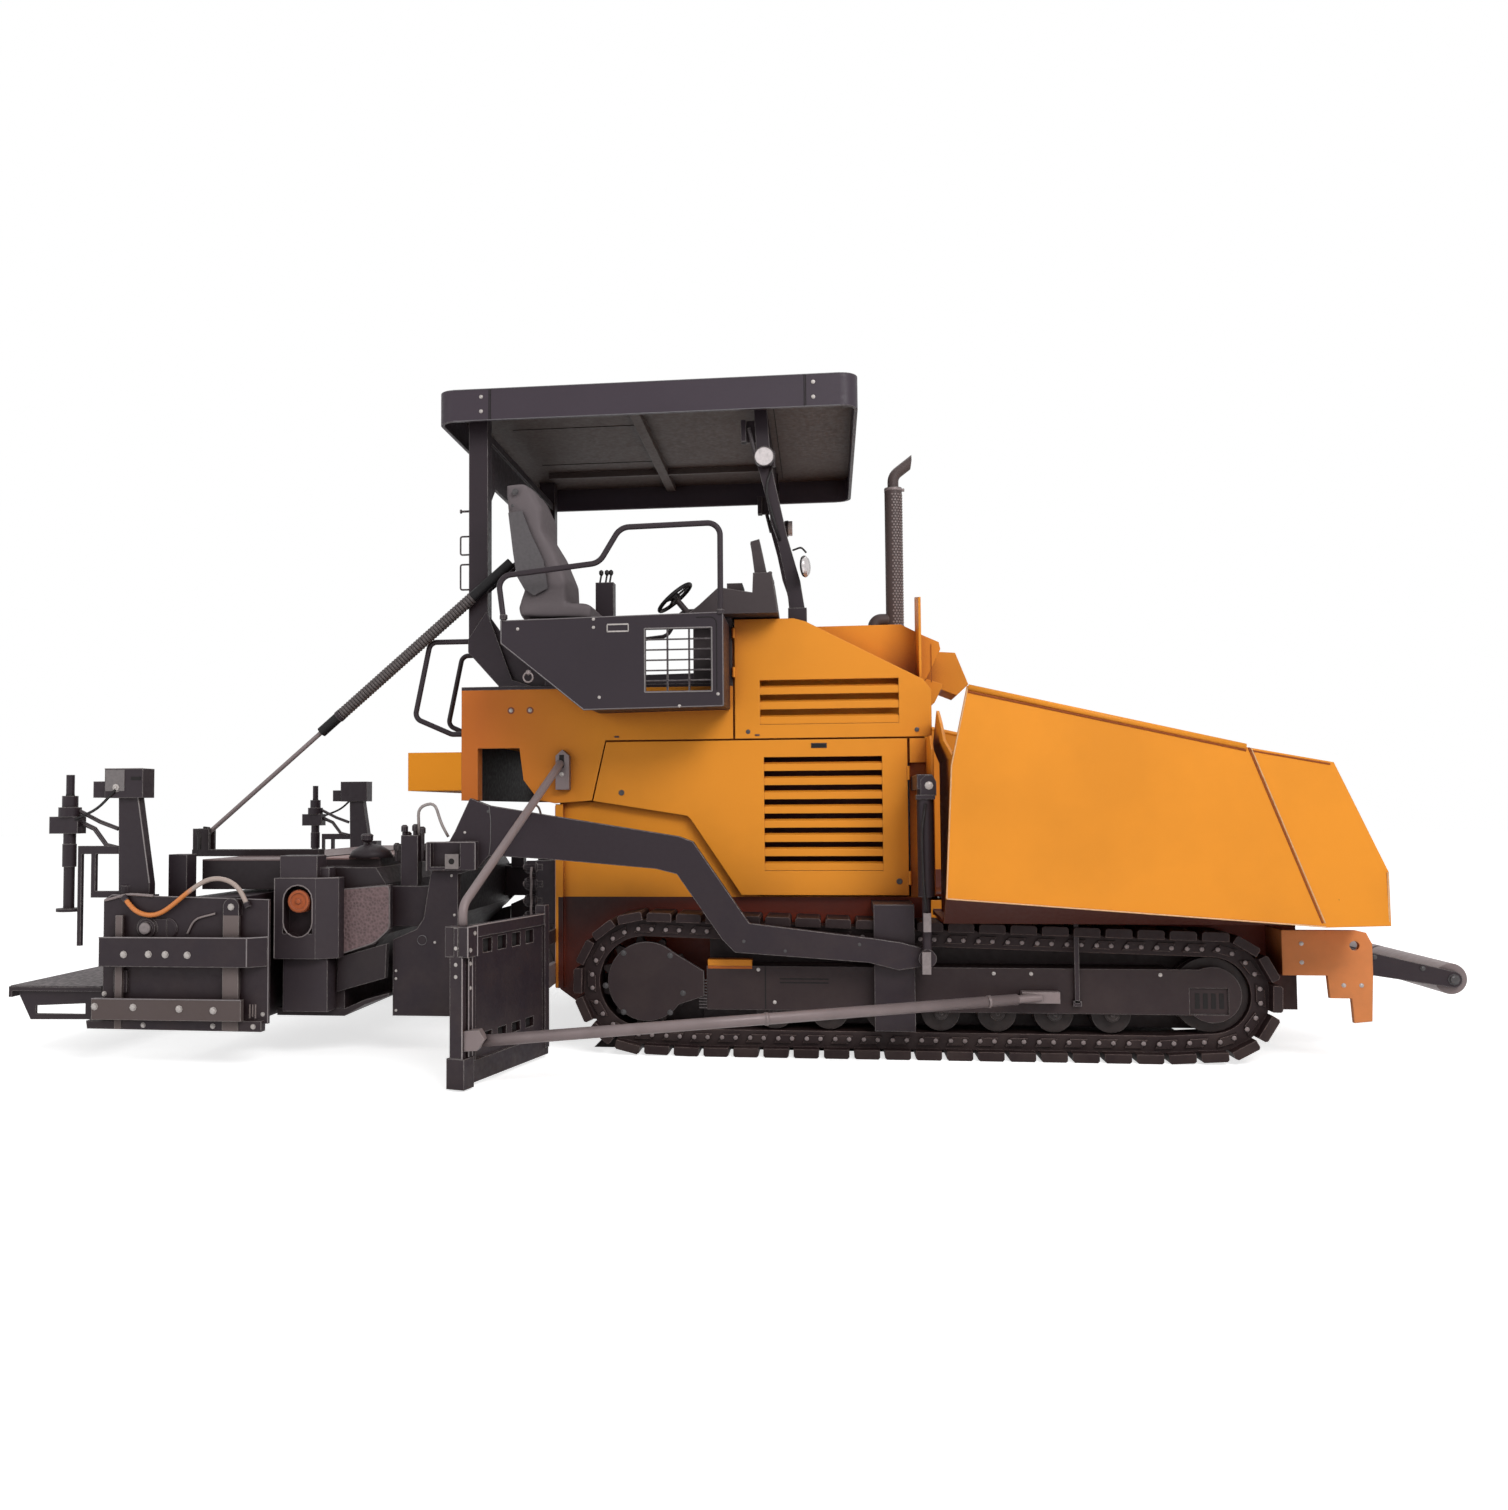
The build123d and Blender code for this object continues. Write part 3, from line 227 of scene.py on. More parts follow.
def surface(name, colour, rough=0.5, metal=0.0, wear_and_highlight=0.35, dirt=0.5, dirt_top=1.1, grain=0.25,
            patches=(), hollow_shade=DEEP_SHADE, hollow_shade_reach=0.16, edge=PALE_STEEL, gloss=0.22, rear=None,
            slot="dark_paint"):
    """Painted or bare steel: mottled colour, dust low down, painted shade in recesses, and light
    edges that are partly worn and partly painted highlight.

    Patches are (low corner, high corner, colour) boxes in millimetres that change the colour, some
    of them painted shade, and rear is a painted shade that takes over toward the machine's back.
    """
    material, tree, shader, where = new_material(name, metal=metal)
    shader.inputs["Specular IOR Level"].default_value = gloss
    axes = split(tree, where)
    broad = noise(tree, where, 1.7, 5.0)
    fine = noise(tree, where, 38.0, 6.0)
    darker = [part * 0.72 for part in colour]
    base = mixed(tree, ramp(tree, broad, 0.42, 0.7, 0.0, 0.35), colour, darker)
    # Painted shade: the colour darkens toward the machine's back.
    if rear:
        base = mixed(tree, ramp(tree, axes[0], -0.75, -1.45), base, rear)
    for low, high, patch_colour in patches:
        base = mixed(tree, inside_box(tree, axes, low, high), base, patch_colour)
    height = ramp(tree, axes[2], dirt_top, 0.0)
    streaks = ramp(tree, noise(tree, where, 6.0, 8.0), 0.38, 0.66)
    dusty = sums(tree, "MULTIPLY", product(tree, height, streaks), dirt, clamp=True)
    base = mixed(tree, dusty, base, DUST)
    # Painted shade: ambient occlusion darkens recesses toward the shade colour.
    occlusion = node(tree, "ShaderNodeAmbientOcclusion", samples=4, in_1=hollow_shade_reach).outputs["AO"]
    base = mixed(tree, ramp(tree, occlusion, 0.25, 0.8, 0.92, 0.0), base, hollow_shade)
    soft = node(tree, "ShaderNodeBevel", samples=4, in_0=0.008).outputs[0]
    flat = node(tree, "ShaderNodeNewGeometry").outputs["Normal"]
    facing = node(tree, "ShaderNodeVectorMath", operation="DOT_PRODUCT")
    wire(tree, (soft, facing.inputs[0]), (flat, facing.inputs[1]))
    # Lighter edges where the bevel bends the normal: partly worn paint, partly painted highlight.
    wear_and_highlight_mask = product(tree, ramp(tree, facing.outputs["Value"], 0.995, 0.9),
                     ramp(tree, fine, 0.3, 0.62, 0.35, 1.0), ramp(tree, occlusion, 0.45, 0.9), wear_and_highlight)
    base = mixed(tree, wear_and_highlight_mask, base, edge)
    bump = bumps(tree, fine, grain, 0.0012)
    roughness = ramp(tree, fine, 0.3, 0.75, rough - 0.08, rough + 0.12)
    wire(tree, (base, shader.inputs["Base Color"]), (roughness, shader.inputs["Roughness"]),
         (soft, bump.inputs["Normal"]), (bump.outputs[0], shader.inputs["Normal"]))
    return material


def plain(name, colour, rough=0.5, metal=0.0):
    """A lightly specked finish for small parts."""
    material, tree, shader, where = new_material(name, rough, metal)
    specks = ramp(tree, noise(tree, where, 55.0, 5.0), 0.4, 0.7, 0.0, 0.45)
    darker = [part * 0.55 for part in colour]
    wire(tree, (mixed(tree, specks, colour, darker), shader.inputs["Base Color"]))
    return material


def bumpy(name, colour, scale, strength, rough=0.7, spread=2.0):
    """A rough or dimpled finish, such as a tread plate or a coated panel."""
    material, tree, shader, where = new_material(name, rough)
    cells = node(tree, "ShaderNodeTexVoronoi")
    cells.inputs["Scale"].default_value = scale
    pits = ramp(tree, cells.outputs["Distance"], 0.15, 0.75)
    lighter = [part * spread for part in colour]
    darker = [part / spread for part in colour]
    bump = bumps(tree, cells.outputs["Distance"], strength, 0.004)
    wire(tree, (mixed(tree, pits, darker, lighter), shader.inputs["Base Color"]),
         (where, cells.inputs["Vector"]), (bump.outputs[0], shader.inputs["Normal"]))
    return material


def two_tone(name, first, second, border):
    """A finish that changes colour along x at the border, in metres."""
    material, tree, shader, where = new_material(name, 0.45)
    factor = ramp(tree, split(tree, where)[0], border - 0.02, border + 0.02)
    wire(tree, (mixed(tree, factor, first, second), shader.inputs["Base Color"]))
    return material


# ---------------- mesh kit
def box(x_range, y_range, z_range):
    """A rectangular block."""
    points = [(x, y, z) for z in z_range for y in y_range for x in x_range]
    return points, [(0, 2, 3, 1), (4, 5, 7, 6), (0, 1, 5, 4), (2, 6, 7, 3), (0, 4, 6, 2), (1, 3, 7, 5)]


def plate(outline, y_in, y_out):
    """An x-z outline made solid between two y values."""
    count = len(outline)
    points = [(x, y, z) for y in (y_in, y_out) for x, z in outline]
    sides = [(i, (i + 1) % count, (i + 1) % count + count, i + count) for i in range(count)]
    return points, [tuple(range(count))[::-1], tuple(range(count, 2 * count))] + sides


def ring_frame(axis):
    """Two unit directions across an axis."""
    axis = Vector(axis).normalized()
    across = axis.cross(Vector(UP) if abs(axis.z) < 0.9 else Vector(AHEAD)).normalized()
    return across, axis.cross(across)


def ring_points(centre, across, over, radius, sides):
    """Points round a circle."""
    angles = [math.tau * i / sides for i in range(sides)]
    return [centre + (across * math.cos(angle) + over * math.sin(angle)) * radius for angle in angles]


def ring_faces(rings, sides):
    """Faces that join rings of points, with a cap at each end."""
    faces = []
    for near in range(0, (rings - 1) * sides, sides):
        for i in range(sides):
            after = (i + 1) % sides
            faces.append((near + i, near + after, near + sides + after, near + sides + i))
    last = (rings - 1) * sides
    return faces + [tuple(range(sides))[::-1], tuple(range(last, last + sides))]


def turned(start, axis, profile, sides=12):
    """A body of revolution from (distance along the axis, radius) pairs."""
    start, axis = Vector(start), Vector(axis).normalized()
    across, over = ring_frame(axis)
    points = []
    for along, radius in profile:
        points += ring_points(start + axis * along, across, over, radius, sides)
    return points, ring_faces(len(profile), sides)


def tube(route, radius, sides=8):
    """A round bar along points, mitred at each one."""
    route = [Vector(point) for point in route]
    points = []
    across = ring_frame(route[1] - route[0])[0]
    for i, point in enumerate(route):
        before = route[max(i - 1, 0)]
        after = route[min(i + 1, len(route) - 1)]
        along = (after - before).normalized()
        across = (across - along * across.dot(along)).normalized()
        points += ring_points(point, across, along.cross(across), radius, sides)
    return points, ring_faces(len(route), sides)


def rounded(route, radius, steps):
    """The route with its corners turned into arcs."""
    route = [Vector(point) for point in route]
    found = [route[0]]
    for before, corner, after in zip(route, route[1:], route[2:]):
        inward, outward = (before - corner), (after - corner)
        reach = min(radius, inward.length * 0.45, outward.length * 0.45)
        start, end = corner + inward.normalized() * reach, corner + outward.normalized() * reach
        for i in range(steps + 1):
            t = i / steps
            found.append(start * (1 - t) ** 2 + corner * 2 * t * (1 - t) + end * t ** 2)
    return found + [route[-1]]


def bolt(centre, axis, radius, height):
    """A domed bolt head on its washer."""
    washer = radius * 1.35
    head = [(1.6, radius), (height * 0.75, radius), (height, radius * 0.6)]
    return turned(centre, axis, [(-1, washer), (1.5, washer)] + head, 8)


def side_bolts(y, radius, height, *spots):
    """Bolts that face sideways at (x, z) spots."""
    return [bolt((x, y, z), LEFT, radius, height) for x, z in spots]


def side_line(y, *spots):
    """A route through (x, z) spots at one y."""
    return [(x, y, z) for x, z in spots]


def bars(radius, *routes):
    """Thin six-sided bars along routes."""
    return [tube(route, radius, 6) for route in routes]


def rim(outline, y, radius):
    """A thin bar along each edge of an x-z outline."""
    return bars(radius, *[side_line(y, *ends) for ends in zip(outline, outline[1:] + outline[:1])])


def hoop(centre, radius, thick, steps):
    """A thin ring that faces sideways."""
    angles = [math.tau * i / steps for i in range(steps + 1)]
    outward = [Vector((math.cos(angle), 0, math.sin(angle))) for angle in angles]
    return tube([Vector(centre) + direction * radius for direction in outward], thick, 6)


def flipped(part):
    """The same part on the machine's other side."""
    points, faces = part
    return [(x, -y, z) for x, y, z in points], [tuple(face)[::-1] for face in faces]


def placed(name, data):
    """A new object in the scene."""
    made = bpy.data.objects.new(name, data)
    bpy.context.scene.collection.objects.link(made)
    return made


def piece(name, rides_with, material, parts, smooth=False):
    """Join parts into one object that moves with the body of a CAD node."""
    mesh = bpy.data.meshes.new(name)
    points, faces = [], []
    for part_points, part_faces in parts:
        offset = len(points)
        points.extend(Vector(point) * MM for point in part_points)
        faces.extend(tuple(corner + offset for corner in face) for face in part_faces)
    mesh.from_pydata(points, [], faces)
    shape = bmesh.new()
    shape.from_mesh(mesh)
    bmesh.ops.recalc_face_normals(shape, faces=shape.faces)
    shape.to_mesh(mesh)
    shape.free()
    if smooth:
        mesh.shade_smooth()
    mesh.materials.append(material)
    made = placed(name, mesh)
    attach(made, BODY_OF[rides_with])
    return made


def pair(name, rides_with, material, parts, smooth=False):
    """One piece on each side, from the left side's parts."""
    left, right = rides_with, rides_with
    if rides_with not in BODY_OF:
        left, right = rides_with + "_left", rides_with + "_right"
    piece(name + "_left", left, material, parts, smooth)
    piece(name + "_right", right, material, [flipped(part) for part in parts], smooth)


# ---------------- finishes
# Patches are (low corner, high corner, colour), in millimetres.
# Painted shade on the hull's sides behind the tracks and on its underside between them.
HULL_SHADE_PATCHES = [((-984, 900, 0), (3300, 990, 866), HULL_BEHIND_TRACK_SHADE), ((-900, 0, 0), (3200, 900, 900), DEEP_SHADE)]
# Painted shade on the wings' underside.
WING_SHADE_PATCHES = [((1100, 0, 700), (3170, 1592, 905), (0.055, 0.012, 0.007))]
# Painted shade inside the cut-out of the body's rear.
REAR_SHADE_PATCHES = [((-1580, 0, 1380), (-1400, 945, 1795), (0.02, 0.0045, 0.004))]
END_GATE_PATCHES = [((-3366, 1840, 262), (-2517, 1890, 375), (0.1, 0.075, 0.072)),
                    ((-3262, 1810, 205), (-3218, 1836, 822), (0.16, 0.125, 0.12)),
                    ((-2646, 1810, 205), (-2552, 1836, 822), (0.16, 0.125, 0.12))]
FRAME_PATCHES = [((-74, 1200, 484), (175, 1235, 502), ORANGE_SHADE)]
DECK_PATCHES = [((-2380, 0, 1100), (-1980, 1300, 1111), (0.3, 0.18, 0.17)),
                ((-2990, 0, 1100), (-2440, 1400, 1112), (0.17, 0.12, 0.12))]

# Glossy orange: painted shade in its recesses, and a light orange edge that is partly painted highlight.
GLOSSY = {"rough": 0.45, "wear_and_highlight": 0.14, "grain": 0.1, "hollow_shade": ORANGE_HOLLOW_SHADE, "hollow_shade_reach": 0.22,
          "edge": (0.95, 0.52, 0.17)}
PAINT = surface("orange_paint", ORANGE, dirt=0.2, rear=REAR_PAINTED_SHADE, slot="orange_paint", **GLOSSY)
WING_PAINT = surface("wing_paint", ORANGE, dirt=0.1, patches=WING_SHADE_PATCHES, **GLOSSY)
REAR_PAINT = surface("rear_paint", ORANGE, wear_and_highlight=0.14, dirt=0.2, patches=REAR_SHADE_PATCHES,
                     hollow_shade=REAR_HOLLOW_SHADE, edge=(0.8, 0.36, 0.12), gloss=0.05)
BUMPER_PAINT = surface("bumper_paint", (0.7, 0.24, 0.075), wear_and_highlight=0.2, dirt=0.3, hollow_shade=REAR_HOLLOW_SHADE,
                       edge=(0.85, 0.45, 0.25))
HULL_PAINT = surface("hull_paint", ORANGE, wear_and_highlight=0.1, dirt=0.25, patches=HULL_SHADE_PATCHES,
                     hollow_shade=(0.18, 0.022, 0.006), hollow_shade_reach=0.22)
# Painted shade: dark maroon for the bulkheads, engine and tunnel, as orange looks deep inside the body.
INSIDE_SHADE = surface("inside_shade_paint", (0.055, 0.01, 0.005), rough=0.6, wear_and_highlight=0.1, dirt=0.2,
                 hollow_shade=(0.012, 0.002, 0.001), hollow_shade_reach=0.4)
ROOF_DARK = surface("roof_paint", (0.048, 0.036, 0.047), rough=0.46, wear_and_highlight=0.5, dirt=0.0, grain=0.2)
POD_DARK = surface("pod_paint", (0.03, 0.022, 0.028), rough=0.46, wear_and_highlight=0.6, dirt=0.0, grain=0.2)
PIPE = surface("exhaust_steel", (0.085, 0.062, 0.06), wear_and_highlight=0.6, dirt=0.0, grain=0.4)
DARK = surface("dark_paint", CHARCOAL, rough=0.46, wear_and_highlight=0.6, dirt=0.22, grain=0.2)
PLATE = surface("plate_paint", CHARCOAL, rough=0.52, wear_and_highlight=0.85, dirt=0.38, grain=0.35)
GATE = surface("gate_paint", CHARCOAL, wear_and_highlight=0.9, dirt=0.3, patches=END_GATE_PATCHES)
FRAME_DARK = surface("frame_paint", (0.028, 0.017, 0.0185), wear_and_highlight=0.45, dirt=0.25, patches=FRAME_PATCHES)
SCREED_DARK = surface("screed_paint", (0.026, 0.019, 0.022), wear_and_highlight=0.7, dirt=0.2, patches=DECK_PATCHES)
VISOR_DARK = surface("visor_paint", (0.045, 0.034, 0.04), wear_and_highlight=0.7, dirt=0.2)
TRACK = surface("track_steel", TRACK_BROWN, rough=0.55, wear_and_highlight=0.75, dirt=0.45, dirt_top=0.5, grain=0.5,
                edge=(0.3, 0.22, 0.2), slot="track_steel")
ROLLER = surface("roller_steel", (0.02, 0.015, 0.015), wear_and_highlight=0.5, dirt=0.4, slot="roller_steel")
STEEL = surface("bare_steel", WORN_STEEL, rough=0.42, metal=0.15, wear_and_highlight=0.5, dirt=0.25, hollow_shade_reach=0.05,
                slot="bare_steel")
PLASTIC = surface("black_plastic", BLACK, wear_and_highlight=0.25, dirt=0.15, slot="black_plastic")
CONSOLE = surface("console_plastic", (0.05, 0.038, 0.04), rough=0.55, wear_and_highlight=0.4, dirt=0.0)
LINING = surface("roof_lining", LINING_BROWN, rough=0.6, wear_and_highlight=0.2, dirt=0.0, hollow_shade_reach=0.3,
                 hollow_shade=(0.03, 0.018, 0.017))
SEAT = surface("seat_cover", SEAT_GREY, rough=0.75, wear_and_highlight=0.0, dirt=0.0, grain=0.6,
               hollow_shade=(0.02, 0.015, 0.016), slot="seat_cover")
RUST_CAP = surface("rusty_cap", RUSTY_ORANGE, rough=0.55, wear_and_highlight=0.2, dirt=0.3, hollow_shade_reach=0.05,
                   slot="orange_paint")
LAMP = plain("lamp_lens", LAMP_GLASS, rough=0.25)
BOLT = plain("bolt_steel", PALE_STEEL, rough=0.4, metal=0.3)
DARK_BOLT = plain("dark_bolt", (0.055, 0.05, 0.052), rough=0.45, metal=0.2)
MIRROR = plain("mirror_face", (0.62, 0.58, 0.58), rough=0.15, metal=0.6)
SEAM = plain("seam_shadow", (0.006, 0.004, 0.004), rough=0.9)
# Dark orange for seams, also used as painted shade in the door gaps and along the wings' folds.
ORANGE_SEAM_SHADE = plain("paint_seam_shade", (0.3, 0.07, 0.01), rough=0.9)
TREAD = bumpy("tread_plate", (0.07, 0.058, 0.06), 45.0, 1.0, spread=2.2)
COATED = bumpy("coated_panel", (0.125, 0.078, 0.08), 60.0, 0.9, rough=0.6, spread=1.35)
HOSE = two_tone("hose_rubber", HOSE_ORANGE, HOSE_BEIGE, -2.83)

# Painted highlights along edges, welds and small fittings: each slot's rows of name, roughness and
# colour.
TRIM_ROWS = {
    "orange_paint": [("ring_paint", 0.5, (0.2, 0.05, 0.015)), ("edge_highlight_paint", 0.5, (0.62, 0.34, 0.26)),
                     ("wing_edge", 0.45, (0.72, 0.42, 0.2))],
    "dark_paint": [("sleeve_hole_glints", 0.5, (0.24, 0.19, 0.185)), ("pod_rim", 0.4, (0.16, 0.14, 0.145)),
                   ("window_rim", 0.4, (0.2, 0.18, 0.18)), ("roof_lip", 0.4, (0.12, 0.11, 0.12)),
                   ("ring_mark", 0.4, (0.1, 0.09, 0.095)), ("weld", 0.5, (0.09, 0.08, 0.082)),
                   ("pocket_rim", 0.4, (0.22, 0.19, 0.19)), ("plate_edge", 0.4, (0.3, 0.26, 0.26)),
                   ("gate_edge", 0.4, (0.24, 0.21, 0.215)), ("stand_edge", 0.4, (0.26, 0.23, 0.23)),
                   ("panel_rim", 0.4, (0.18, 0.15, 0.15)), ("arch_rim", 0.4, (0.24, 0.2, 0.2)),
                   ("end_rim", 0.4, (0.2, 0.17, 0.17))],
    "bare_steel": [("pocket_plate", 0.5, (0.2, 0.17, 0.165)), ("fitting", 0.45, (0.24, 0.2, 0.2)),
                   ("brace_end", 0.5, (0.24, 0.17, 0.15)), ("gate_slot", 0.5, (0.25, 0.2, 0.19)),
                   ("bushing_cap", 0.5, (0.24, 0.2, 0.2)), ("stand_panel", 0.4, (0.15, 0.13, 0.13)),
                   ("light_pipe", 0.4, (0.34, 0.29, 0.28))],
    "black_plastic": [("screen", 0.15, (0.012, 0.014, 0.018)), ("shell_grey", 0.5, (0.075, 0.066, 0.07)),
                      ("bellows", 0.55, (0.085, 0.068, 0.066))]}
TRIM = {name: plain(name, colour, rough)
        for slot, rows in TRIM_ROWS.items() for name, rough, colour in rows}

SLOT_FINISH = {"orange_paint": PAINT, "dark_paint": DARK, "track_steel": TRACK, "roller_steel": ROLLER,
               "bare_steel": STEEL, "seat_cover": SEAT, "black_plastic": PLASTIC, "lamp_lens": LAMP,
               "roof_lining": LINING}
NODE_FINISH = {name: material for material, names in (
    (HULL_PAINT, "main_frame"), (INSIDE_SHADE, "bulkheads engine conveyor_tunnel"), (REAR_PAINT, "rear_step"),
    (WING_PAINT, "hopper_wing_left hopper_wing_right"), (BUMPER_PAINT, "front_bumper"),
    (FRAME_DARK, "track_frames"), (SCREED_DARK, "screed_frame"), (VISOR_DARK, "screed_ends"),
    (GATE, "end_gate_left end_gate_right"), (PLATE, "retaining_plates tow_arms"),
    (RUST_CAP, "guide_tubes"), (ROOF_DARK, "roof"), (CONSOLE, "console"), (POD_DARK, "side_panels"),
    (PIPE, "exhaust_stack")) for name in names.split()}


def finish_nodes():
    """Give every CAD node its finish."""
    for part in RECORD["subparts"]:
        name = part["node"]
        materials = NODES[name].data.materials
        materials.clear()
        materials.append(NODE_FINISH.get(name, SLOT_FINISH[part["material_slot"]]))


# ---------------- body and doors
def body_details():
    """Seams, bolts and small fittings of the body."""
    side = BODY_SIDE
    ring_spots = [(-1266, 1975), (-1150, 1975)]
    rings = [turned((x, side - 1, z), LEFT, [(0, 21), (3, 21), (3.5, 15)], 16) for x, z in ring_spots]
    pair("body_rings", "body_sides", TRIM["ring_paint"], rings)
    pair("body_bolts", "body_sides", BOLT, side_bolts(side + 2, 9, 7, *ring_spots))
    clips = [box((x, x + 26), (side - 2, side + 5), (1806, 1814)) for x in (-640, 190)]
    pair("body_clips", "body_sides", DARK, clips)
    latches = [turned((x, side - 1, z), LEFT, [(0, 17), (4, 17), (5, 13), (3, 5)], 16)
               for x, z in ((-600, 1480), (1010, 960))]
    pair("door_latches", "side_door", DARK_BOLT, latches)
    pair("door_handles", "side_door", PLASTIC, [box((515, 605), (side - 1, side + 3), (1731, 1759))])
    pair("cover_latches", "upper_door", DARK_BOLT,
         [turned((x, side - 1, 1830), LEFT, [(0, 13), (4, 13), (5, 9)], 14) for x in (150, 1120)])
    pair("strut_bolts", "plate_stays", BOLT, side_bolts(side + 50, 11, 8, (-948, 1590)))
    pair("strut_slots", "plate_stays", SEAM, [box((-962, -934), (side + 45, side + 52), (1630, 1705))])
    # Door jambs behind the gaps, dark orange as painted shade.
    jamb = (962, 968)
    pair("door_jambs", "body_sides", ORANGE_SEAM_SHADE,
         [box((-700, 1165), jamb, (1768, 1796)), box((54, 82), jamb, (1796, 2430)),
          box((1052, 1090), jamb, (1640, 1775))])
    # Painted highlight along the hull's rear edge.
    pair("rear_edges", "main_frame", TRIM["edge_highlight_paint"], [box((-1003, -997), (922, 984), (335, 1405))])


def hood_details():
    """Holes, seams and vents of the hood, and the exhaust's perforated sleeve."""
    holes = [turned((1039, y, HOOD_TOP), UP, [(0, 8), (2, 8)], 10) for y in (-670, -640)]
    piece("hood_holes", "hood", SEAM, holes)
    seams = [box((1232, 1234), y_range, (2132, 2360)) for y_range in ((-694, -688), (688, 694))]
    piece("hood_seams", "hood", ORANGE_SEAM_SHADE, seams)
    vents = [box((300 + 70 * i, 345 + 70 * i), (-300, 300), (HOOD_TOP - 3, HOOD_TOP)) for i in range(7)]
    piece("hood_vents", "hood", SEAM, vents)
    # Painted highlight: pale holes on the sleeve's lit front.
    piece("exhaust_holes", "exhaust_stack", TRIM["sleeve_hole_glints"], sleeve_hole_glints(49, 18))
    bands = [turned((STACK_X, 0, z), UP, [(0, 58.5), (18, 58.5)], 32) for z in (2475, 3466)]
    bands += [box((1112, 1132), (-8, 8), (z, z + 18)) for z in (2475, 3466)]
    piece("exhaust_bands", "exhaust_stack", STEEL, bands)


def sleeve_hole_glints(rows, columns):
    """Staggered holes round the exhaust's sleeve, pale as painted highlight, left out at its unlit rear.
    """
    holes = []
    for row in range(rows):
        for column in range(columns):
            angle = math.tau * (column + 0.5 * (row % 2)) / columns
            out = Vector((math.cos(angle), math.sin(angle), 0))
            if out.x >= -0.2:
                place = Vector((STACK_X, 0, 2560 + 18.3 * row)) + out * 56.5
                holes.append(turned(place, out, [(0, 7), (3, 6)], 6))
    return holes


# ---------------- operator's platform
def pod_details():
    """Marks, bolts and trims on the outboard pods."""
    side = POD_SIDE
    marks = [box((-594, -476), (side - 1, side + 2), (z - 4, z + 4)) for z in (2403, 2364)]
    marks += [box((x - 3, x + 3), (side - 1, side + 2), (2364, 2403)) for x in (-594, -476)]
    pair("pod_grip_frames", "side_panels", BOLT, marks)
    bolts = side_bolts(side, 7, 5, (-671, 2435), (-671, 2389), (18, 2008), (-194, 1945), (-640, 2000),
                       (-1100, 2390))
    pair("pod_bolts", "side_panels", BOLT, bolts)
    edge = [(-1195, 2437), (46, 2457), (46, 1944), (-728, 1934), (-1195, 2312)]
    # Painted highlight along the pods' edges.
    pair("pod_rims", "side_panels", TRIM["pod_rim"], rim(edge, side, 3.2))
    inner = rounded(side_line(side + 1, (-100, 2432), (12, 2432), (12, 2030)), 40, 5)
    pair("pod_trims", "side_panels", SEAM, bars(2.5, inner))
    window = [(-386, 2024), (-386, 2376), (-14, 2376), (-14, 2024)]
    # Painted highlight round the window.
    pair("window_rims", "side_panels", TRIM["window_rim"], rim(window, side, 4))
    pin = [hoop((-1040, side + 4, 2118), 27, 5, 14), bolt((-1040, side, 2145), LEFT, 12, 10)]
    pair("ring_pins", "side_panels", STEEL, pin)
    sockets = [turned((x, side - 10, 2448), UP, [(0, 22), (22, 22), (26, 18)], 14) for x in (-1183, 34)]
    pair("rail_sockets", "side_panels", DARK, sockets)


def platform_details():
    """Post fittings, mirror, levers and the console's small parts."""
    side, root, grip = -930, -1530, -1598
    handles = []
    for low, high in ((2722, 2876), (2936, 3048)):
        loop = side_line(side, (root, low), (grip, low), (grip, high), (root, high))
        handles.append(tube(rounded(loop, 12, 3), 5.5, 8))
    handles.append(tube(side_line(side, (root, 3203), (grip + 6, 3203)), 7, 8))
    handles.append(turned((grip + 6, side, 3203), BACK, [(0, 13), (8, 13)], 8))
    piece("post_handles", "rear_posts", DARK, handles)
    arm = tube(rounded([(420, -952, 2900), (470, -1010, 2905), (498, -1020, 2870)], 20, 3), 6, 8)
    piece("mirror_arm", "front_posts", PLASTIC, [arm])
    facing = (1, -0.35, 0)
    shell = turned((478, -1019, 2788), facing, [(0, 22), (3, 60), (12, 64)], 24)
    glass = turned((482, -1020, 2788), facing, [(0, 20), (3, 58), (14, 62), (26, 50), (30, 20)], 24)
    piece("mirror_shell", "front_posts", PLASTIC, [shell], smooth=True)
    piece("mirror_glass", "front_posts", MIRROR, [glass], smooth=True)
    cable = rounded([(300, -960, 3400), (262, -975, 3260), (300, -965, 3120), (345, -958, 2960)], 60, 4)
    piece("lamp_cable", "front_posts", PLASTIC, [tube(cable, 7, 8)], smooth=True)
    brackets = [box((250, 320), (-952, -925), (3405, 3495)),
                box((290, 340), (900, 930), (3415, 3485))]
    piece("lamp_brackets", "front_posts", DARK, brackets)
    rims = [turned(LAMP_RIGHT, RIGHT, [(0, 58), (53, 60), (53, 54), (20, 50)], 28),
            turned(LAMP_LEFT, AHEAD, [(0, 58), (24, 60), (24, 54), (10, 50)], 28)]
    piece("lamp_rims", "work_lights", DARK, rims)
    lever_xs = (-750, -715, -690)
    levers = [tube([(x, -860, 2755), (x + 8, -858, 2800)], 6, 8) for x in lever_xs]
    knob = [(0, 9), (10, 14), (24, 14), (32, 6)]
    levers += [turned((x + 8, -858, 2800), UP, knob, 10) for x in lever_xs]
    piece("arm_levers", "seat_bases", PLASTIC, levers)
    knobs = [turned((x, y, 2735), UP, [(0, 12), (14, 12), (18, 8)], 12)
             for x in (215, 255, 290) for y in (-760, -820, -1080)]
    piece("console_knobs", "console", PLASTIC, knobs)
    screen = plate([(176, 2920), (228, 2934), (266, 2748), (206, 2740)], -1085, -915)
    piece("console_screen", "console", TRIM["screen"], [screen])


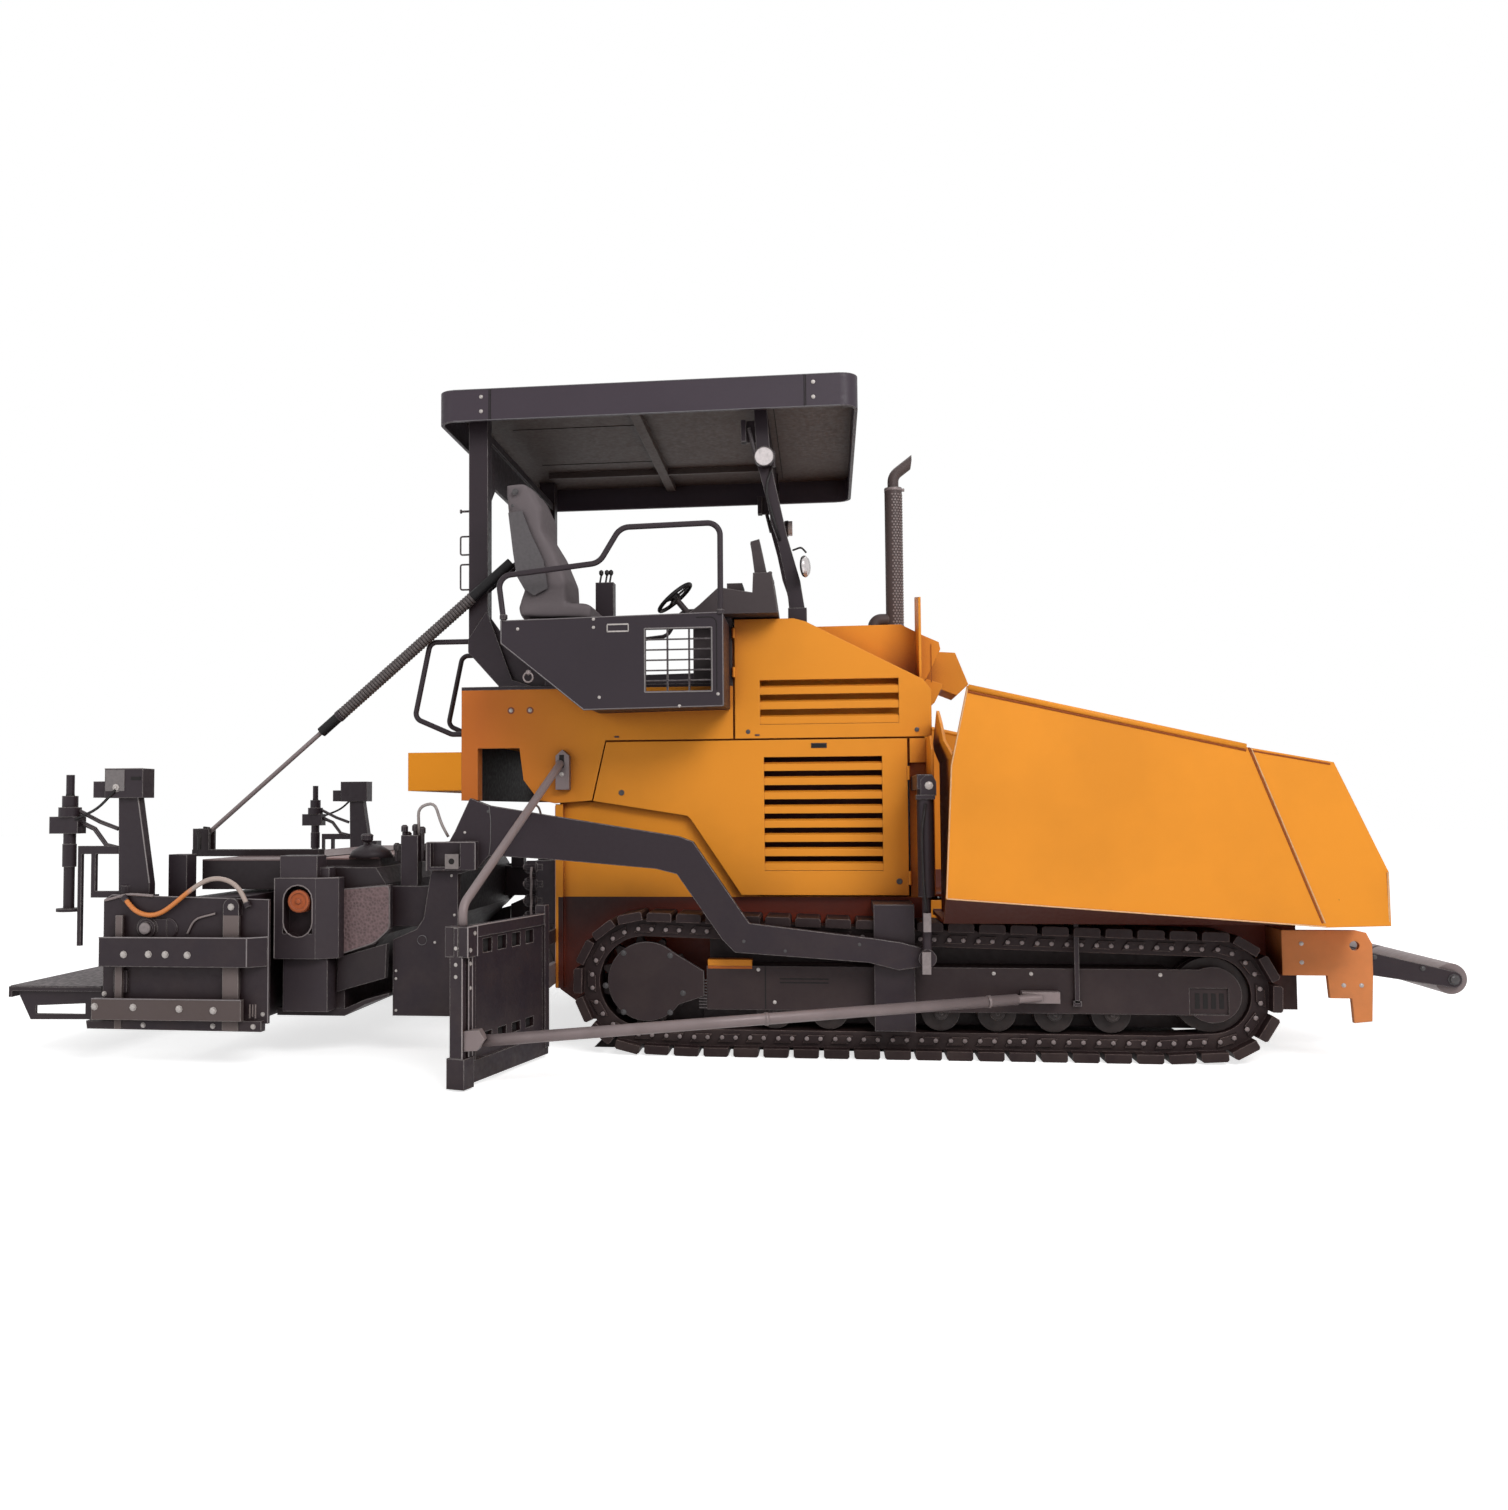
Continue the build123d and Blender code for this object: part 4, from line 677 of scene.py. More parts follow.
def roof_details():
    """The roof's seams, bolts, lips and lining, and the plates and brackets on its posts."""
    gusset = [(-1413, 2560), (-1300, 2400), (-1180, 2330), (-930, 2122), (-1150, 2122), (-1260, 2160)]
    pair("post_gussets", "rear_posts", DARK, [plate(gusset, 955, 965)])
    pair("post_brackets", "front_posts", DARK,
         [box((118, 240), (905, 925), (3560, 3690)), box((118, 150), (880, 952), (3560, 3690)),
          tube([(165, 940, 3640), (215, 940, 3430)], 14, 10)])
    side = ROOF_SIDE
    seams = [box((x - 2, x + 2), (side - 1, side + 2), (3694, 3876)) for x in (-1361, -1352, 498, 507)]
    pair("roof_seams", "roof", SEAM, seams)
    spots = [(x, z) for x in (-1409, 550) for z in (3832, 3745)]
    pair("roof_bolts", "roof", BOLT, side_bolts(side, 9, 6, *spots))
    # Painted highlight along the roof's top and bottom edges.
    lips = bars(3, *[side_line(side, (-1580, z), (705, z)) for z in (3692, 3878)])
    pair("roof_lips", "roof", TRIM["roof_lip"], lips)
    lines = [box((-1400, -590), (y - 2, y + 2), (3850, 3853)) for y in (-420, 420)]
    lines.append(box((300, 304), (-1000, 1000), (3850, 3853)))
    piece("lining_lines", "roof_lining", SEAM, lines)


# ---------------- seat
SEAT_RIGHT, SEAT_LEFT = -1360, -880
SEAT_BACK = [(-1204, 3264), (-1091, 3271), (-1011, 3109), (-1000, 2982), (-931, 2863), (-868, 2693),
             (-860, 2562), (-1125, 2562), (-1102, 2636), (-1145, 2711), (-1166, 2849), (-1193, 3083)]
SEAT_SHELL = [(-1190, 3080), (-1162, 2849), (-1141, 2715), (-1098, 2640), (-1040, 2600), (-960, 2640),
              (-985, 2800), (-1060, 2960), (-1110, 3090)]
PAD_SHRINK = 9                  # the pads start this much inside their solids, and swell back
PAD_CAP = 0.014                 # the furthest that a point may swell
PAD_VOXEL = 0.012
PAD_PRESSURE = 4
CLOTH_STEPS = 20


def padded_solid(name, parts):
    """The parts as cushions: remeshed, swollen by cloth pressure up to a cap, and smoothed."""
    pad = piece(name, "seats", SEAT, parts)
    remesh = pad.modifiers.new("remesh", "REMESH")
    remesh.mode, remesh.voxel_size = "VOXEL", PAD_VOXEL
    settle(pad)
    start = [vertex.co.copy() for vertex in pad.data.vertices]
    cloth = pad.modifiers.new("cloth", "CLOTH")
    cloth.settings.use_pressure = True
    cloth.settings.uniform_pressure_force = PAD_PRESSURE
    cloth.settings.effector_weights.gravity = 0
    cloth.settings.quality = 4
    for step in range(1, CLOTH_STEPS + 1):
        bpy.context.scene.frame_set(step)
    settle(pad)
    bpy.context.scene.frame_set(1)
    for vertex, place in zip(pad.data.vertices, start):
        moved = vertex.co - place
        if moved.length > PAD_CAP:
            vertex.co = place + moved.normalized() * PAD_CAP
    smooth = pad.modifiers.new("smooth", "SMOOTH")
    smooth.iterations = 4
    finer = pad.modifiers.new("finer", "SUBSURF")
    finer.levels = finer.render_levels = 1
    settle(pad)
    pad.data.shade_smooth()
    return pad


def settle(made):
    """Apply an object's modifiers to its mesh."""
    seen = made.evaluated_get(bpy.context.evaluated_depsgraph_get())
    mesh = bpy.data.meshes.new_from_object(seen)
    made.modifiers.clear()
    made.data = mesh


def seat_pads():
    """The seat's cushion and tall back, with the back's plastic shell, lever and side bolts."""
    middle = Vector((sum(x for x, _ in SEAT_BACK), 0, sum(z for _, z in SEAT_BACK))) / len(SEAT_BACK)
    inner = []
    for x, z in SEAT_BACK:
        pull = (middle - Vector((x, 0, z))).normalized() * PAD_SHRINK
        inner.append((x + pull.x, z + pull.z))
    width = SEAT_RIGHT + PAD_SHRINK, SEAT_LEFT - PAD_SHRINK
    cushion = box((-1140 + PAD_SHRINK, -698 - PAD_SHRINK), width, (2474, 2560 - PAD_SHRINK))
    pads = padded_solid("seat_pads", [plate(inner, *width), cushion])
    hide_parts("seats")
    sides = [plate(SEAT_SHELL, y, y + 8) for y in (SEAT_RIGHT - 2, SEAT_LEFT - 6)]
    piece("seat_shell", "seats", TRIM["shell_grey"], sides)
    lever = rounded(side_line(SEAT_LEFT + 6, (-1060, 2640), (-1010, 2560), (-900, 2520)), 40, 4)
    piece("seat_lever", "seats", PLASTIC, [tube(lever, 12, 8)])
    bolts = [bolt((-1150, SEAT_RIGHT, 3200), RIGHT, 14, 5), bolt((-1165, SEAT_RIGHT, 3120), RIGHT, 7, 4)]
    piece("seat_bolts", "seats", DARK_BOLT, bolts)


# ---------------- tracks
SHOE_COUNT = 50
LINK_INSET = 98                 # from the shoes' loop in to the middle of the chain's links
LINK_PLATE = [(-62, -26), (30, -26), (62, 20), (-30, 20)]       # along the loop and out from it
TRACK_RIMS = [(-440, 405, 395), (2650, 360, 345), (-180, 260, 260), (2400, 260, 260)]   # x, z, radius
RIM_STEPS = 160


def track_details():
    """Cover bolts, roller caps, marks and guards on the track frames."""
    side = FRAME_SIDE
    covers = side_bolts(TRACK_COVER, 13, 9, (-552, 568), (-286, 556), (-655, 384), (-214, 346),
                        (-553, 237), (-288, 237))
    pair("cover_bolts", "track_frames", DARK_BOLT, covers)
    marks = [box((330, 600), (side - 1, side + 2), (z - 3, z + 3)) for z in (409, 430)]
    marks.append(box((246, 252), (side - 1, side + 2), (262, 498)))
    marks += [box((2560 + 42 * i, 2584 + 42 * i), (side - 13, side - 10), (290, 372)) for i in range(4)]
    pair("frame_marks", "track_frames", SEAM, marks)
    ribs = [box((-125, -80), (side - 2, side + 6), (262 + 17 * i, 270 + 17 * i)) for i in range(10)]
    pair("cover_ribs", "track_frames", DARK, ribs)
    pair("frame_boxes", "track_frames", PAINT, [box((-74, 175), (1150, side + 2), (500, 535))])
    # Chain guards, dark plates that also stand in for the shade behind the rollers and sprocket.
    guards = [box((-120, 2620), (1002, 1010), (150, 300)), box((-800, -120), (960, 968), (150, 420))]
    pair("chain_guards", "track_frames", FRAME_DARK, guards)
    pair("frame_bolts", "track_frames", BOLT,
         side_bolts(side, 8, 6, (210, 480), (1500, 470), (1700, 470), (2380, 470), (300, 300)))
    cap = [(0, 40), (10, 40), (14, 30), (14, 12), (20, 12)]
    pair("roller_caps", "track_rollers", ROLLER,
         [turned((300 + 305 * i, 1200, 250), LEFT, cap, 16) for i in range(7)])


def loop_places(inset, count):
    """Evenly spaced (x, z, direction) places on a loop inside the hull of the track's rims."""
    angles = [math.tau * i / RIM_STEPS for i in range(RIM_STEPS)]
    cloud = sorted((x + (radius - inset) * math.cos(angle), z + (radius - inset) * math.sin(angle))
                   for x, z, radius in TRACK_RIMS for angle in angles)
    hull = []
    for points in (cloud, cloud[::-1]):
        start = len(hull)
        for point in points:
            while len(hull) - start >= 2 and turns_right(hull[-2], hull[-1], point):
                hull.pop()
            hull.append(point)
        hull.pop()
    runs = list(zip(hull, hull[1:] + hull[:1]))
    lengths = [math.dist(a, b) for a, b in runs]
    step, travelled, places = sum(lengths) / count, 0.0, []
    for (a, b), length in zip(runs, lengths):
        while len(places) < count and len(places) * step <= travelled + length:
            t = (len(places) * step - travelled) / length
            direction = math.atan2(b[1] - a[1], b[0] - a[0])
            places.append((a[0] + (b[0] - a[0]) * t, a[1] + (b[1] - a[1]) * t, direction))
        travelled += length
    return places


def turns_right(first, second, third):
    """Whether three points of a hull don't turn left."""
    (x0, z0), (x1, z1), (x2, z2) = first, second, third
    return (x1 - x0) * (z2 - z0) - (z1 - z0) * (x2 - x0) <= 0


def chain_details():
    """The chain's link plates and pins."""
    links, pins = [], []
    for x, z, angle in loop_places(LINK_INSET, SHOE_COUNT):
        along = Vector((math.cos(angle), 0, math.sin(angle)))
        over = Vector((-math.sin(angle), 0, math.cos(angle)))
        corners = [Vector((x, 0, z)) + along * a + over * b for a, b in LINK_PLATE]
        links.append(plate([(corner.x, corner.z) for corner in corners], 1205, 1216))
        for shift in (-38, 38):
            place = Vector((x, 1216, z)) + along * shift
            pins.append(turned(place, LEFT, [(0, 13), (5, 13), (7, 8)], 8))
    pair("chain_links", "track", TRACK, links)
    pair("chain_pins", "track", STEEL, pins)


# ---------------- tow arms and plates
def arm_details():
    """Bolts and marks on the tow arms and their rear plates."""
    side = ARM_SIDE
    pair("arm_bolts", "tow_arms", BOLT,
         side_bolts(side, 6, 5, (-1517, 1012), (-1377, 1098), (-1500, 790), (-1614, 635), (-1534, 613),
                    (-1440, 1256), (-1841, 473), (-1841, 429), (-1502, 560), (-1502, 430), (-1502, 300),
                    (-1840, 250)))
    pair("arm_holes", "tow_arms", DARK_BOLT,
         side_bolts(side, 7, 3, (139, 651), (366, 600), (770, 638), (-1304, 1374), (-1380, 1150)))
    pair("arm_rings", "tow_arms", TRIM["ring_mark"], [hoop((-1688, side + 1, 647), 27, 2.5, 18)])
    seam = side_line(side + 1, (-1300, 1408), (-1290, 1330), (-1290, 1210), (-1300, 1125))
    pair("arm_seams", "tow_arms", TRIM["weld"], bars(3, seam))
    pocket = POCKET_SIDE
    pair("pocket_plates", "tow_arms", TRIM["pocket_plate"],
         [box((-1536, -1458), (pocket - 3, pocket + 2), (1053, 1136))])
    hole = turned((-1498, pocket + 1, 1095), LEFT, [(0, 17), (2, 17)], 14)
    pair("pocket_holes", "tow_arms", SEAM, [hole])
    # Painted highlight round the pocket's edge.
    edge = side_line(pocket, (-1644, 1042), (-1644, 1202), (-1362, 1202), (-1362, 1048))
    pair("pocket_rims", "tow_arms", TRIM["pocket_rim"], bars(3.5, rounded(edge, 8, 2)))


def cylinder_details():
    """Clevis, cover band, fittings and pipe of the levelling cylinders."""
    side = 1446
    clevis = [(1103, 1445), (1187, 1445), (1187, 1520), (1168, 1556), (1128, 1556), (1103, 1530)]
    pair("clevis_plates", "level_cylinders", DARK, [plate(clevis, side - 14, side)])
    pair("clevis_pins", "level_cylinders", BOLT, side_bolts(side, 17, 10, (1148, 1500)))
    pair("cylinder_bands", "level_cylinders", DARK, [box((1080, 1180), (1350, 1452), (1425, 1450))])
    pair("cylinder_fittings", "level_cylinders", TRIM["fitting"],
         [box((1108, 1148), (1440, 1462), (716, 816)), box((1100, 1146), (1424, 1448), (489, 607))])
    pipe = rounded([(1128, 1450, 1400), (1105, 1460, 1250), (1112, 1462, 950), (1128, 1452, 816)], 60, 4)
    pair("cylinder_pipes", "level_cylinders", PLASTIC, [tube(pipe, 8, 8)], smooth=True)


def swept(along, out, z):
    """A point on the retaining plate from its distance along the plate and out from its rear face."""
    x, y = PLATE_HINGE
    return (x + out * math.cos(PLATE_TURN) - along * math.sin(PLATE_TURN),
            y + out * math.sin(PLATE_TURN) + along * math.cos(PLATE_TURN), z)


def swept_box(along, out, heights):
    """A block on the retaining plate."""
    points = [swept(y, x, z) for z in heights for y in along for x in out]
    return points, box(along, out, heights)[1]


def retaining_details():
    """Bolts, hooks and edges of the retaining plates, with the brace's flared end and sleeve."""
    facing = (math.cos(PLATE_TURN), math.sin(PLATE_TURN), 0)
    end_facing = (-math.sin(PLATE_TURN), math.cos(PLATE_TURN), 0)
    bolts = [bolt(swept(along, 66, z), facing, 9, 7) for along, z in ((860, 770), (900, 690))]
    bolts += [bolt(swept(868, 45, z), facing, 8, 7) for z in (500, 250, 620)]
    bolts += [bolt(swept(926, 0, z), end_facing, 10, 8) for z in (620, 560, 700)]
    pair("plate_bolts", "retaining_plates", BOLT, bolts)
    backing = [swept_box((130, 710), (-16, -13), heights) for heights in ((640, 740), (185, 265))]
    pair("plate_backs", "retaining_plates", SEAM, backing)
    # Painted highlight along the plates' edges.
    edges = [[swept(along, out, low), swept(along, out, high)]
             for along, out, low, high in ((885, 46, 165, 655), (850, 46, 165, 655), (926, 66, 655, 805),
                                           (930, 36, 160, 650), (835, 66, 655, 805))]
    edges += [[swept(835, 66, 805), swept(926, 66, 805)], [swept(0, 25, 800), swept(835, 25, 800)]]
    pair("plate_edges", "retaining_plates", TRIM["plate_edge"], bars(3.5, *edges))
    hooks = [box((-1005, -965), (1352, 1380), (z, z + 30)) for z in (640, 520, 400)]
    pair("plate_hooks", "retaining_plates", STEEL, hooks)
    fork = turned((-1185, 2210, 236), (1, -0.31, 0.039), [(0, 30), (60, 33), (85, 27), (110, 24)], 14)
    pair("brace_ends", "plate_stays", TRIM["brace_end"], [fork])
    start, end = Vector((-1200, 2215, 235)), Vector((1740, 1290, 350))
    sleeve = [tube([start.lerp(end, 0.03), start.lerp(end, 0.955)], 30, 20)]
    sleeve += [turned(start.lerp(end, share), end - start, [(0, 34), (16, 34)], 20)
               for share in (0.5, 0.9)]
    pair("brace_sleeves", "plate_stays", STEEL, sleeve, smooth=True)


def auger_drive_details():
    """The stacked hydraulic fittings on the hull's rear, above each auger."""
    levels = (740, 840, 940, 1040)
    fitting = [(0, 30), (12, 38), (70, 38), (82, 30), (110, 30)]
    stack = [box((-1130, -1000), (880, 940), (700, 1080))]
    stack += [turned((-1200, 915, z), AHEAD, fitting, 16) for z in levels]
    pair("auger_drives", "main_frame", DARK, stack)
    nuts = [turned((-1212, 915, z), AHEAD, [(0, 14), (12, 22)], 6) for z in levels]
    for low, high in zip(levels, levels[1:]):
        loop = [(-1150, 962, low), (-1150, 985, (low + high) / 2), (-1150, 962, high)]
        nuts.append(tube(rounded(loop, 20, 3), 8, 8))
    pair("auger_drive_nuts", "main_frame", STEEL, nuts)


# ---------------- screed
def gate_details():
    """Bolts, slots, edges and pins on the end gates."""
    side, bar = GATE_SIDE, END_BAR
    bolts = side_bolts(bar, 15, 11, (-3184, 614), (-3042, 616), (-2946, 615), (-2821, 613), (-3347, 333),
                       (-3126, 331), (-2864, 325), (-2671, 319))
    bolts += side_bolts(side + 30, 11, 8, (-3095, 228), (-2698, 228), (-2470, 228))
    bolts += side_bolts(side, 11, 8, (-3340, 390), (-3340, 296))
    bolts += side_bolts(side + 35, 14, 9, (-2599, 868))
    bolts += side_bolts(side, 9, 7, (-2430, 290))
    pair("gate_bolts", "end_gate", BOLT, bolts)
    slots = []
    for x, low in ((-2506, 268), (-2490, 276), (-2474, 268)):
        slots.append(box((x, x + 7), (side - 1, side + 3), (low, 342)))
        slots.append(box((x, x + 5), (side - 1, side + 6), (282, 290)))
    pair("gate_slots", "end_gate", TRIM["gate_slot"], slots)
    # Painted highlight along the gates' edges.
    edges = bars(3.5, [(-3328, bar, 705), (-2487, bar, 705), (-2403, side + 6, 705)],
                 side_line(bar, (-2487, 552), (-2487, 702)),
                 side_line(side + 1, (-3345, 902), (-3300, 929), (-2402, 905), (-2402, 245)))
    edges += bars(3, side_line(bar, (-3366, 375), (-2517, 375)))
    pair("gate_edges", "end_gate", TRIM["gate_edge"], edges)
    bushing = [(0, 62), (18, 62), (20, 52), (30, 52), (32, 36), (44, 34)]
    pair("gate_bushings", "end_gate", PLATE, [turned((-3088, side - 5, 750), LEFT, bushing, 24)])
    pair("bushing_caps", "end_gate", TRIM["bushing_cap"],
         [turned((-3088, side + 38, 750), LEFT, [(0, 32), (6, 30), (9, 20)], 20)])
    pair("gate_bosses", "end_gate", DARK,
         [turned((-2978, side - 10, 745), LEFT, [(0, 60), (14, 60), (18, 50)], 24),
          box((-3088, -2978), (side - 5, side + 12), (700, 800))])
    rear_link = rounded(side_line(side + 6, (-3340, 900), (-3200, 935), (-3060, 925)), 40, 3)
    front_link = rounded([(-2860, 1808, 720), (-2820, 1810, 800), (-2700, 1808, 830)], 40, 4)
    pair("gate_links", "end_gate", STEEL, [tube(rear_link, 8, 8), tube(front_link, 6, 8)])


def screed_hoses():
    """The free hose on each end gate, orange at the rear and beige at the front."""
    for side, sign in (("left", 1), ("right", -1)):
        data = bpy.data.curves.new("screed_hose_line_" + side, "CURVE")
        data.dimensions = "3D"
        data.bevel_depth = HOSE_RADIUS * MM
        data.bevel_resolution = 4
        data.use_fill_caps = True
        line = data.splines.new("NURBS")
        line.points.add(len(HOSE_ROUTE) - 1)
        for point, (x, y, z) in zip(line.points, HOSE_ROUTE):
            point.co = (x * MM, sign * y * MM, z * MM, 1)
        line.order_u = 3
        line.use_endpoint_u = True
        line.resolution_u = 8
        data.materials.append(HOSE)
        hose = placed("screed_hose_line_" + side, data)
        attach(hose, BODY_OF["screed_hose_" + side])
        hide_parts("screed_hose_" + side)
        x, y, z = HOSE_ROUTE[0]


def stand_details():
    """Marks, brackets and cables on the control stands."""
    side = STAND_SIDE
    face = (side - 1, side + 3)
    pair("stand_slots", "control_stand", SEAM, [box((-3224, -3167), face, (1560, 1578))])
    bolts = side_bolts(side, 20, 10, (-3310, 1520)) + side_bolts(side + 8, 9, 9, (-3310, 1520))
    pair("stand_bolts", "control_stand", BOLT, bolts)
    panel = [(-3374, 1500), (-3374, 1618), (-3262, 1618), (-3262, 1500)]
    pair("stand_panels", "control_stand", TRIM["stand_panel"], [plate(panel, *face)])
    cable = rounded([(-3310, 1766, 1508), (-3420, 1760, 1400), (-3560, 1745, 1345)], 60, 4)
    pair("stand_cables", "control_stand", PLASTIC, [tube(cable, 8, 8)], smooth=True)
    grip = [(0, 24), (30, 20), (80, 18), (112, 22), (118, 10)]
    pair("crank_grips", "control_stand", PLASTIC, [turned((-3620, 1700, 1476), UP, grip, 14)])
    low = side_line(1700, (-3560, 1330), (-3470, 1290), (-3400, 1200), (-3320, 1180))
    high = side_line(1700, (-3560, 1390), (-3440, 1330), (-3330, 1290))
    pair("crank_brackets", "control_stand", DARK, [tube(low, 14, 8), tube(high, 12, 8)])
    foot = turned((-3266, 1700, 925), UP, [(0, 44), (50, 44), (60, 30)], 16)
    pair("stand_feet", "control_stand", DARK, [foot])
    # Painted highlight along the stands' edges.
    edges = bars(3.5, side_line(1731, (-3200, 1470), (-3126, 990)))
    edges += bars(3, side_line(side + 1, (-3379, 1624), (-3156, 1624)))
    pair("stand_edges", "control_stand", TRIM["stand_edge"], edges)


def screed_details():
    """Panels, rims, pipes, valves and the deck's fittings on the main screed."""
    panel = [(-2150, 936), (-1856, 960), (-1855, 719), (-1940, 640), (-2155, 570)]
    pair("coated_panels", "screed_frame", COATED, [plate(panel, PANEL_SIDE, PANEL_SIDE + 3)])
    # Painted highlight round the coated panels.
    edge = rounded(side_line(PANEL_SIDE + 1, *panel, panel[0]), 30, 3)
    pair("panel_rims", "screed_frame", TRIM["panel_rim"], bars(4, edge))
    side = VISOR_SIDE
    arch = []
    for start, middle in ((0, 885), (math.pi, 765)):
        for angle in [start + math.pi * i / 8 for i in range(9)]:
            arch.append((-2335 + 85 * math.cos(angle), side, middle + 85 * math.sin(angle)))
    # Painted highlight round the visor's arch.
    pair("arch_rims", "screed_ends", TRIM["arch_rim"], bars(4, arch + arch[:1]))
    corners = [(-2470, side, 565), (-2470, side, 1008), (-2232, side, 1008), (-2120, side - 60, 1008)]
    # Painted highlight along the visor's edges.
    pair("end_rims", "screed_ends", TRIM["end_rim"], bars(3.5, corners))
    cap = [(0, 62), (8, 60), (9, 46), (4, 44), (4, 16), (12, 14)]
    pair("tube_caps", "guide_tubes", RUST_CAP, [turned((-2330, side - 6, 880), LEFT, cap, 28)])
    pipe = [(-1740, 1270, 1240), (-1740, 1290, 1400), (-1640, 1300, 1430), (-1600, 1290, 1300),
            (-1560, 1290, 1230)]
    pair("light_pipes", "tow_arms", TRIM["light_pipe"], [tube(rounded(pipe, 60, 4), 9, 8)], smooth=True)
    pair("valve_stack", "tow_arms", DARK, valves(9))
    knob = [tube([(-2100, 1180, 1110), (-2085, 1180, 1200)], 16, 10),
            turned((-2085, 1180, 1200), UP, [(0, 26), (12, 34), (40, 36), (48, 24)], 14)]
    pair("deck_knobs", "screed_frame", DARK, knob)
    hump = turned((-2060, 1180, DECK_TOP), UP, [(0, 130), (40, 110), (70, 60), (80, 10)], 20)
    pair("deck_humps", "screed_frame", SCREED_DARK, [hump], smooth=True)
    seams = [box((x, x + 6), (-1240, 1240), (DECK_TOP, DECK_TOP + 5)) for x in (-2360, -2000)]
    seams += [box((-2380, -1980), (y - 3, y + 3), (DECK_TOP + 1, DECK_TOP + 5))
              for y in (-800, -300, 300, 800)]
    piece("deck_seams", "screed_frame", SEAM, seams)


def valves(count):
    """Upright valves of uneven height and place."""
    random.seed(4)
    found = []
    for i in range(count):
        x = -1880 + 22 * i + random.uniform(-6, 6)
        height = random.uniform(1180, 1330)
        neck = height - 1130
        profile = [(0, 14), (neck, 14), (neck, 20), (neck + 30, 20), (neck + 40, 10)]
        found.append(turned((x, 1240 + random.uniform(-20, 30), 1090), UP, profile, 10))
    return found


def walkway_details():
    """Rough tread plates on the walkways, clear of the sliding extensions."""
    pair("extension_treads", "extension_walkway", TREAD, [box((-4035, -3486), (406, 1594), (394, 400))])
    piece("main_tread", "main_walkway", TREAD, [box((-4000, -3486), (-374, 374), (349, 354))])


def stay_details():
    """The stay's bellows, collar and shank, and the thin wires at its foot."""
    along = STAY_FOOT - STAY_TOP
    direction = along.normalized()
    start, pitch, count = along.length * 0.14, 20, 54
    rib = [(0, 33), (5, 36), (11, 36), (16, 33)]
    ribs = [turned(STAY_TOP + direction * (start + pitch * i), direction, rib, 16) for i in range(count)]
    piece("stay_bellows", "stay_barrel", TRIM["bellows"], ribs)
    end = STAY_TOP + direction * (start + pitch * count)
    piece("stay_collar", "stay_barrel", DARK, [turned(end, direction, [(0, 36), (30, 36), (34, 30)], 16)])
    shank = tube([STAY_TOP + direction * along.length * share for share in (0.53, 0.63)], 13.5, 14)
    piece("stay_shank", "stay_rod", STEEL, [shank], smooth=True)
    piece("stand_wires", "screed_frame", PLASTIC,
          [tube([(-3220, -1000, 1150), (-3220, -1000, 1230), (-3235, -1005, 1270)], 12, 8),
           tube([(-3205, -900, 1280), (-3245, -900, 1285)], 8, 8)])


# ---------------- hopper and push rollers
def hopper_details():
    """The wings' rims, edges and folds, the hull's straps, and the push bar's and bumper's bolts."""
    side = WING_SIDE
    lip = tube(side_line(side - 6, (1346, 2012), (2735, 1682)), 17, 10)
    pair("wing_rims", "hopper_wing", PAINT, [lip], smooth=True)
    nose = 1576
    # Painted highlight along the wings' edges and front flange.
    strips = bars(4, side_line(side, (1219, 905), (1254, 1600), (1343, 2010)),
                  side_line(side + 2, (1222, 903), (3098, 766)),
                  side_line(nose, (3412, 1040), (3412, 790)))
    strips += bars(3.5, side_line(side, (2760, 1676), (3096, 785)))
    pair("wing_edges", "hopper_wing", TRIM["wing_edge"], strips)
    # Painted shade along the wings' folds.
    folds = bars(5, side_line(side, (2748, 1678), (3084, 785)),
                 [(2760, side - 2, 1662), (3150, nose, 1590)])
    folds += bars(6, side_line(side, (1346, 1988), (2735, 1664)))
    pair("wing_folds", "hopper_wing", ORANGE_SEAM_SHADE, folds)
    pair("hull_straps", "main_frame", DARK,
         [box((1875, 2038), (1200, 1262), (752, 772)), box((1925, 1950), (1250, 1262), (320, 752)),
          box((1915, 1960), (1236, 1262), (300, 330))])
    bolts = side_bolts(928, 24, 14, (4010, 420)) + side_bolts(928, 11, 8, (3600, 540), (3850, 480))
    pair("push_bolts", "push_beam", DARK_BOLT, bolts)
    pair("bumper_bolts", "front_bumper", BOLT,
         side_bolts(1200, 9, 7, (3120, 640), (3120, 540), (3420, 420), (3330, 420)))


# ---------------- camera, floor and light (metres)
LENS, SENSOR = 29.84, 36        # mm
CAMERA_PLACE = (0.6, -8.291, 1.378)
CAMERA_YAW, CAMERA_PITCH, CAMERA_ROLL = math.radians(6.66), math.radians(2.5), math.radians(0.35)
CAMERA_SHIFT = 0.049
FLOOR_HALF = 60
FLOOR_GLOW = 0.7               # brings the floor up to white where it is seen directly
UNDERSIDE_SHADOW = (-760, -1040, -10), (2720, 1040, 10)        # mm; a painted shadow on the floor between the tracks
WORLD_LIGHT = 0.36


def make_camera():
    """The camera stands low beside the machine's right side, just ahead of its middle."""
    forward = Vector((-math.sin(CAMERA_YAW) * math.cos(CAMERA_PITCH),
                      math.cos(CAMERA_YAW) * math.cos(CAMERA_PITCH), math.sin(CAMERA_PITCH)))
    level = Vector((math.cos(CAMERA_YAW), math.sin(CAMERA_YAW), 0))
    upright = level.cross(forward)
    right = level * math.cos(CAMERA_ROLL) - upright * math.sin(CAMERA_ROLL)
    up = level * math.sin(CAMERA_ROLL) + upright * math.cos(CAMERA_ROLL)
    data = bpy.data.cameras.new("camera")
    data.lens, data.sensor_width, data.shift_x = LENS, SENSOR, CAMERA_SHIFT
    data.clip_end = 200
    camera = placed("camera", data)
    turn = Matrix((right, up, -forward)).transposed().to_4x4()
    camera.matrix_world = Matrix.Translation(CAMERA_PLACE) @ turn
    bpy.context.scene.camera = camera


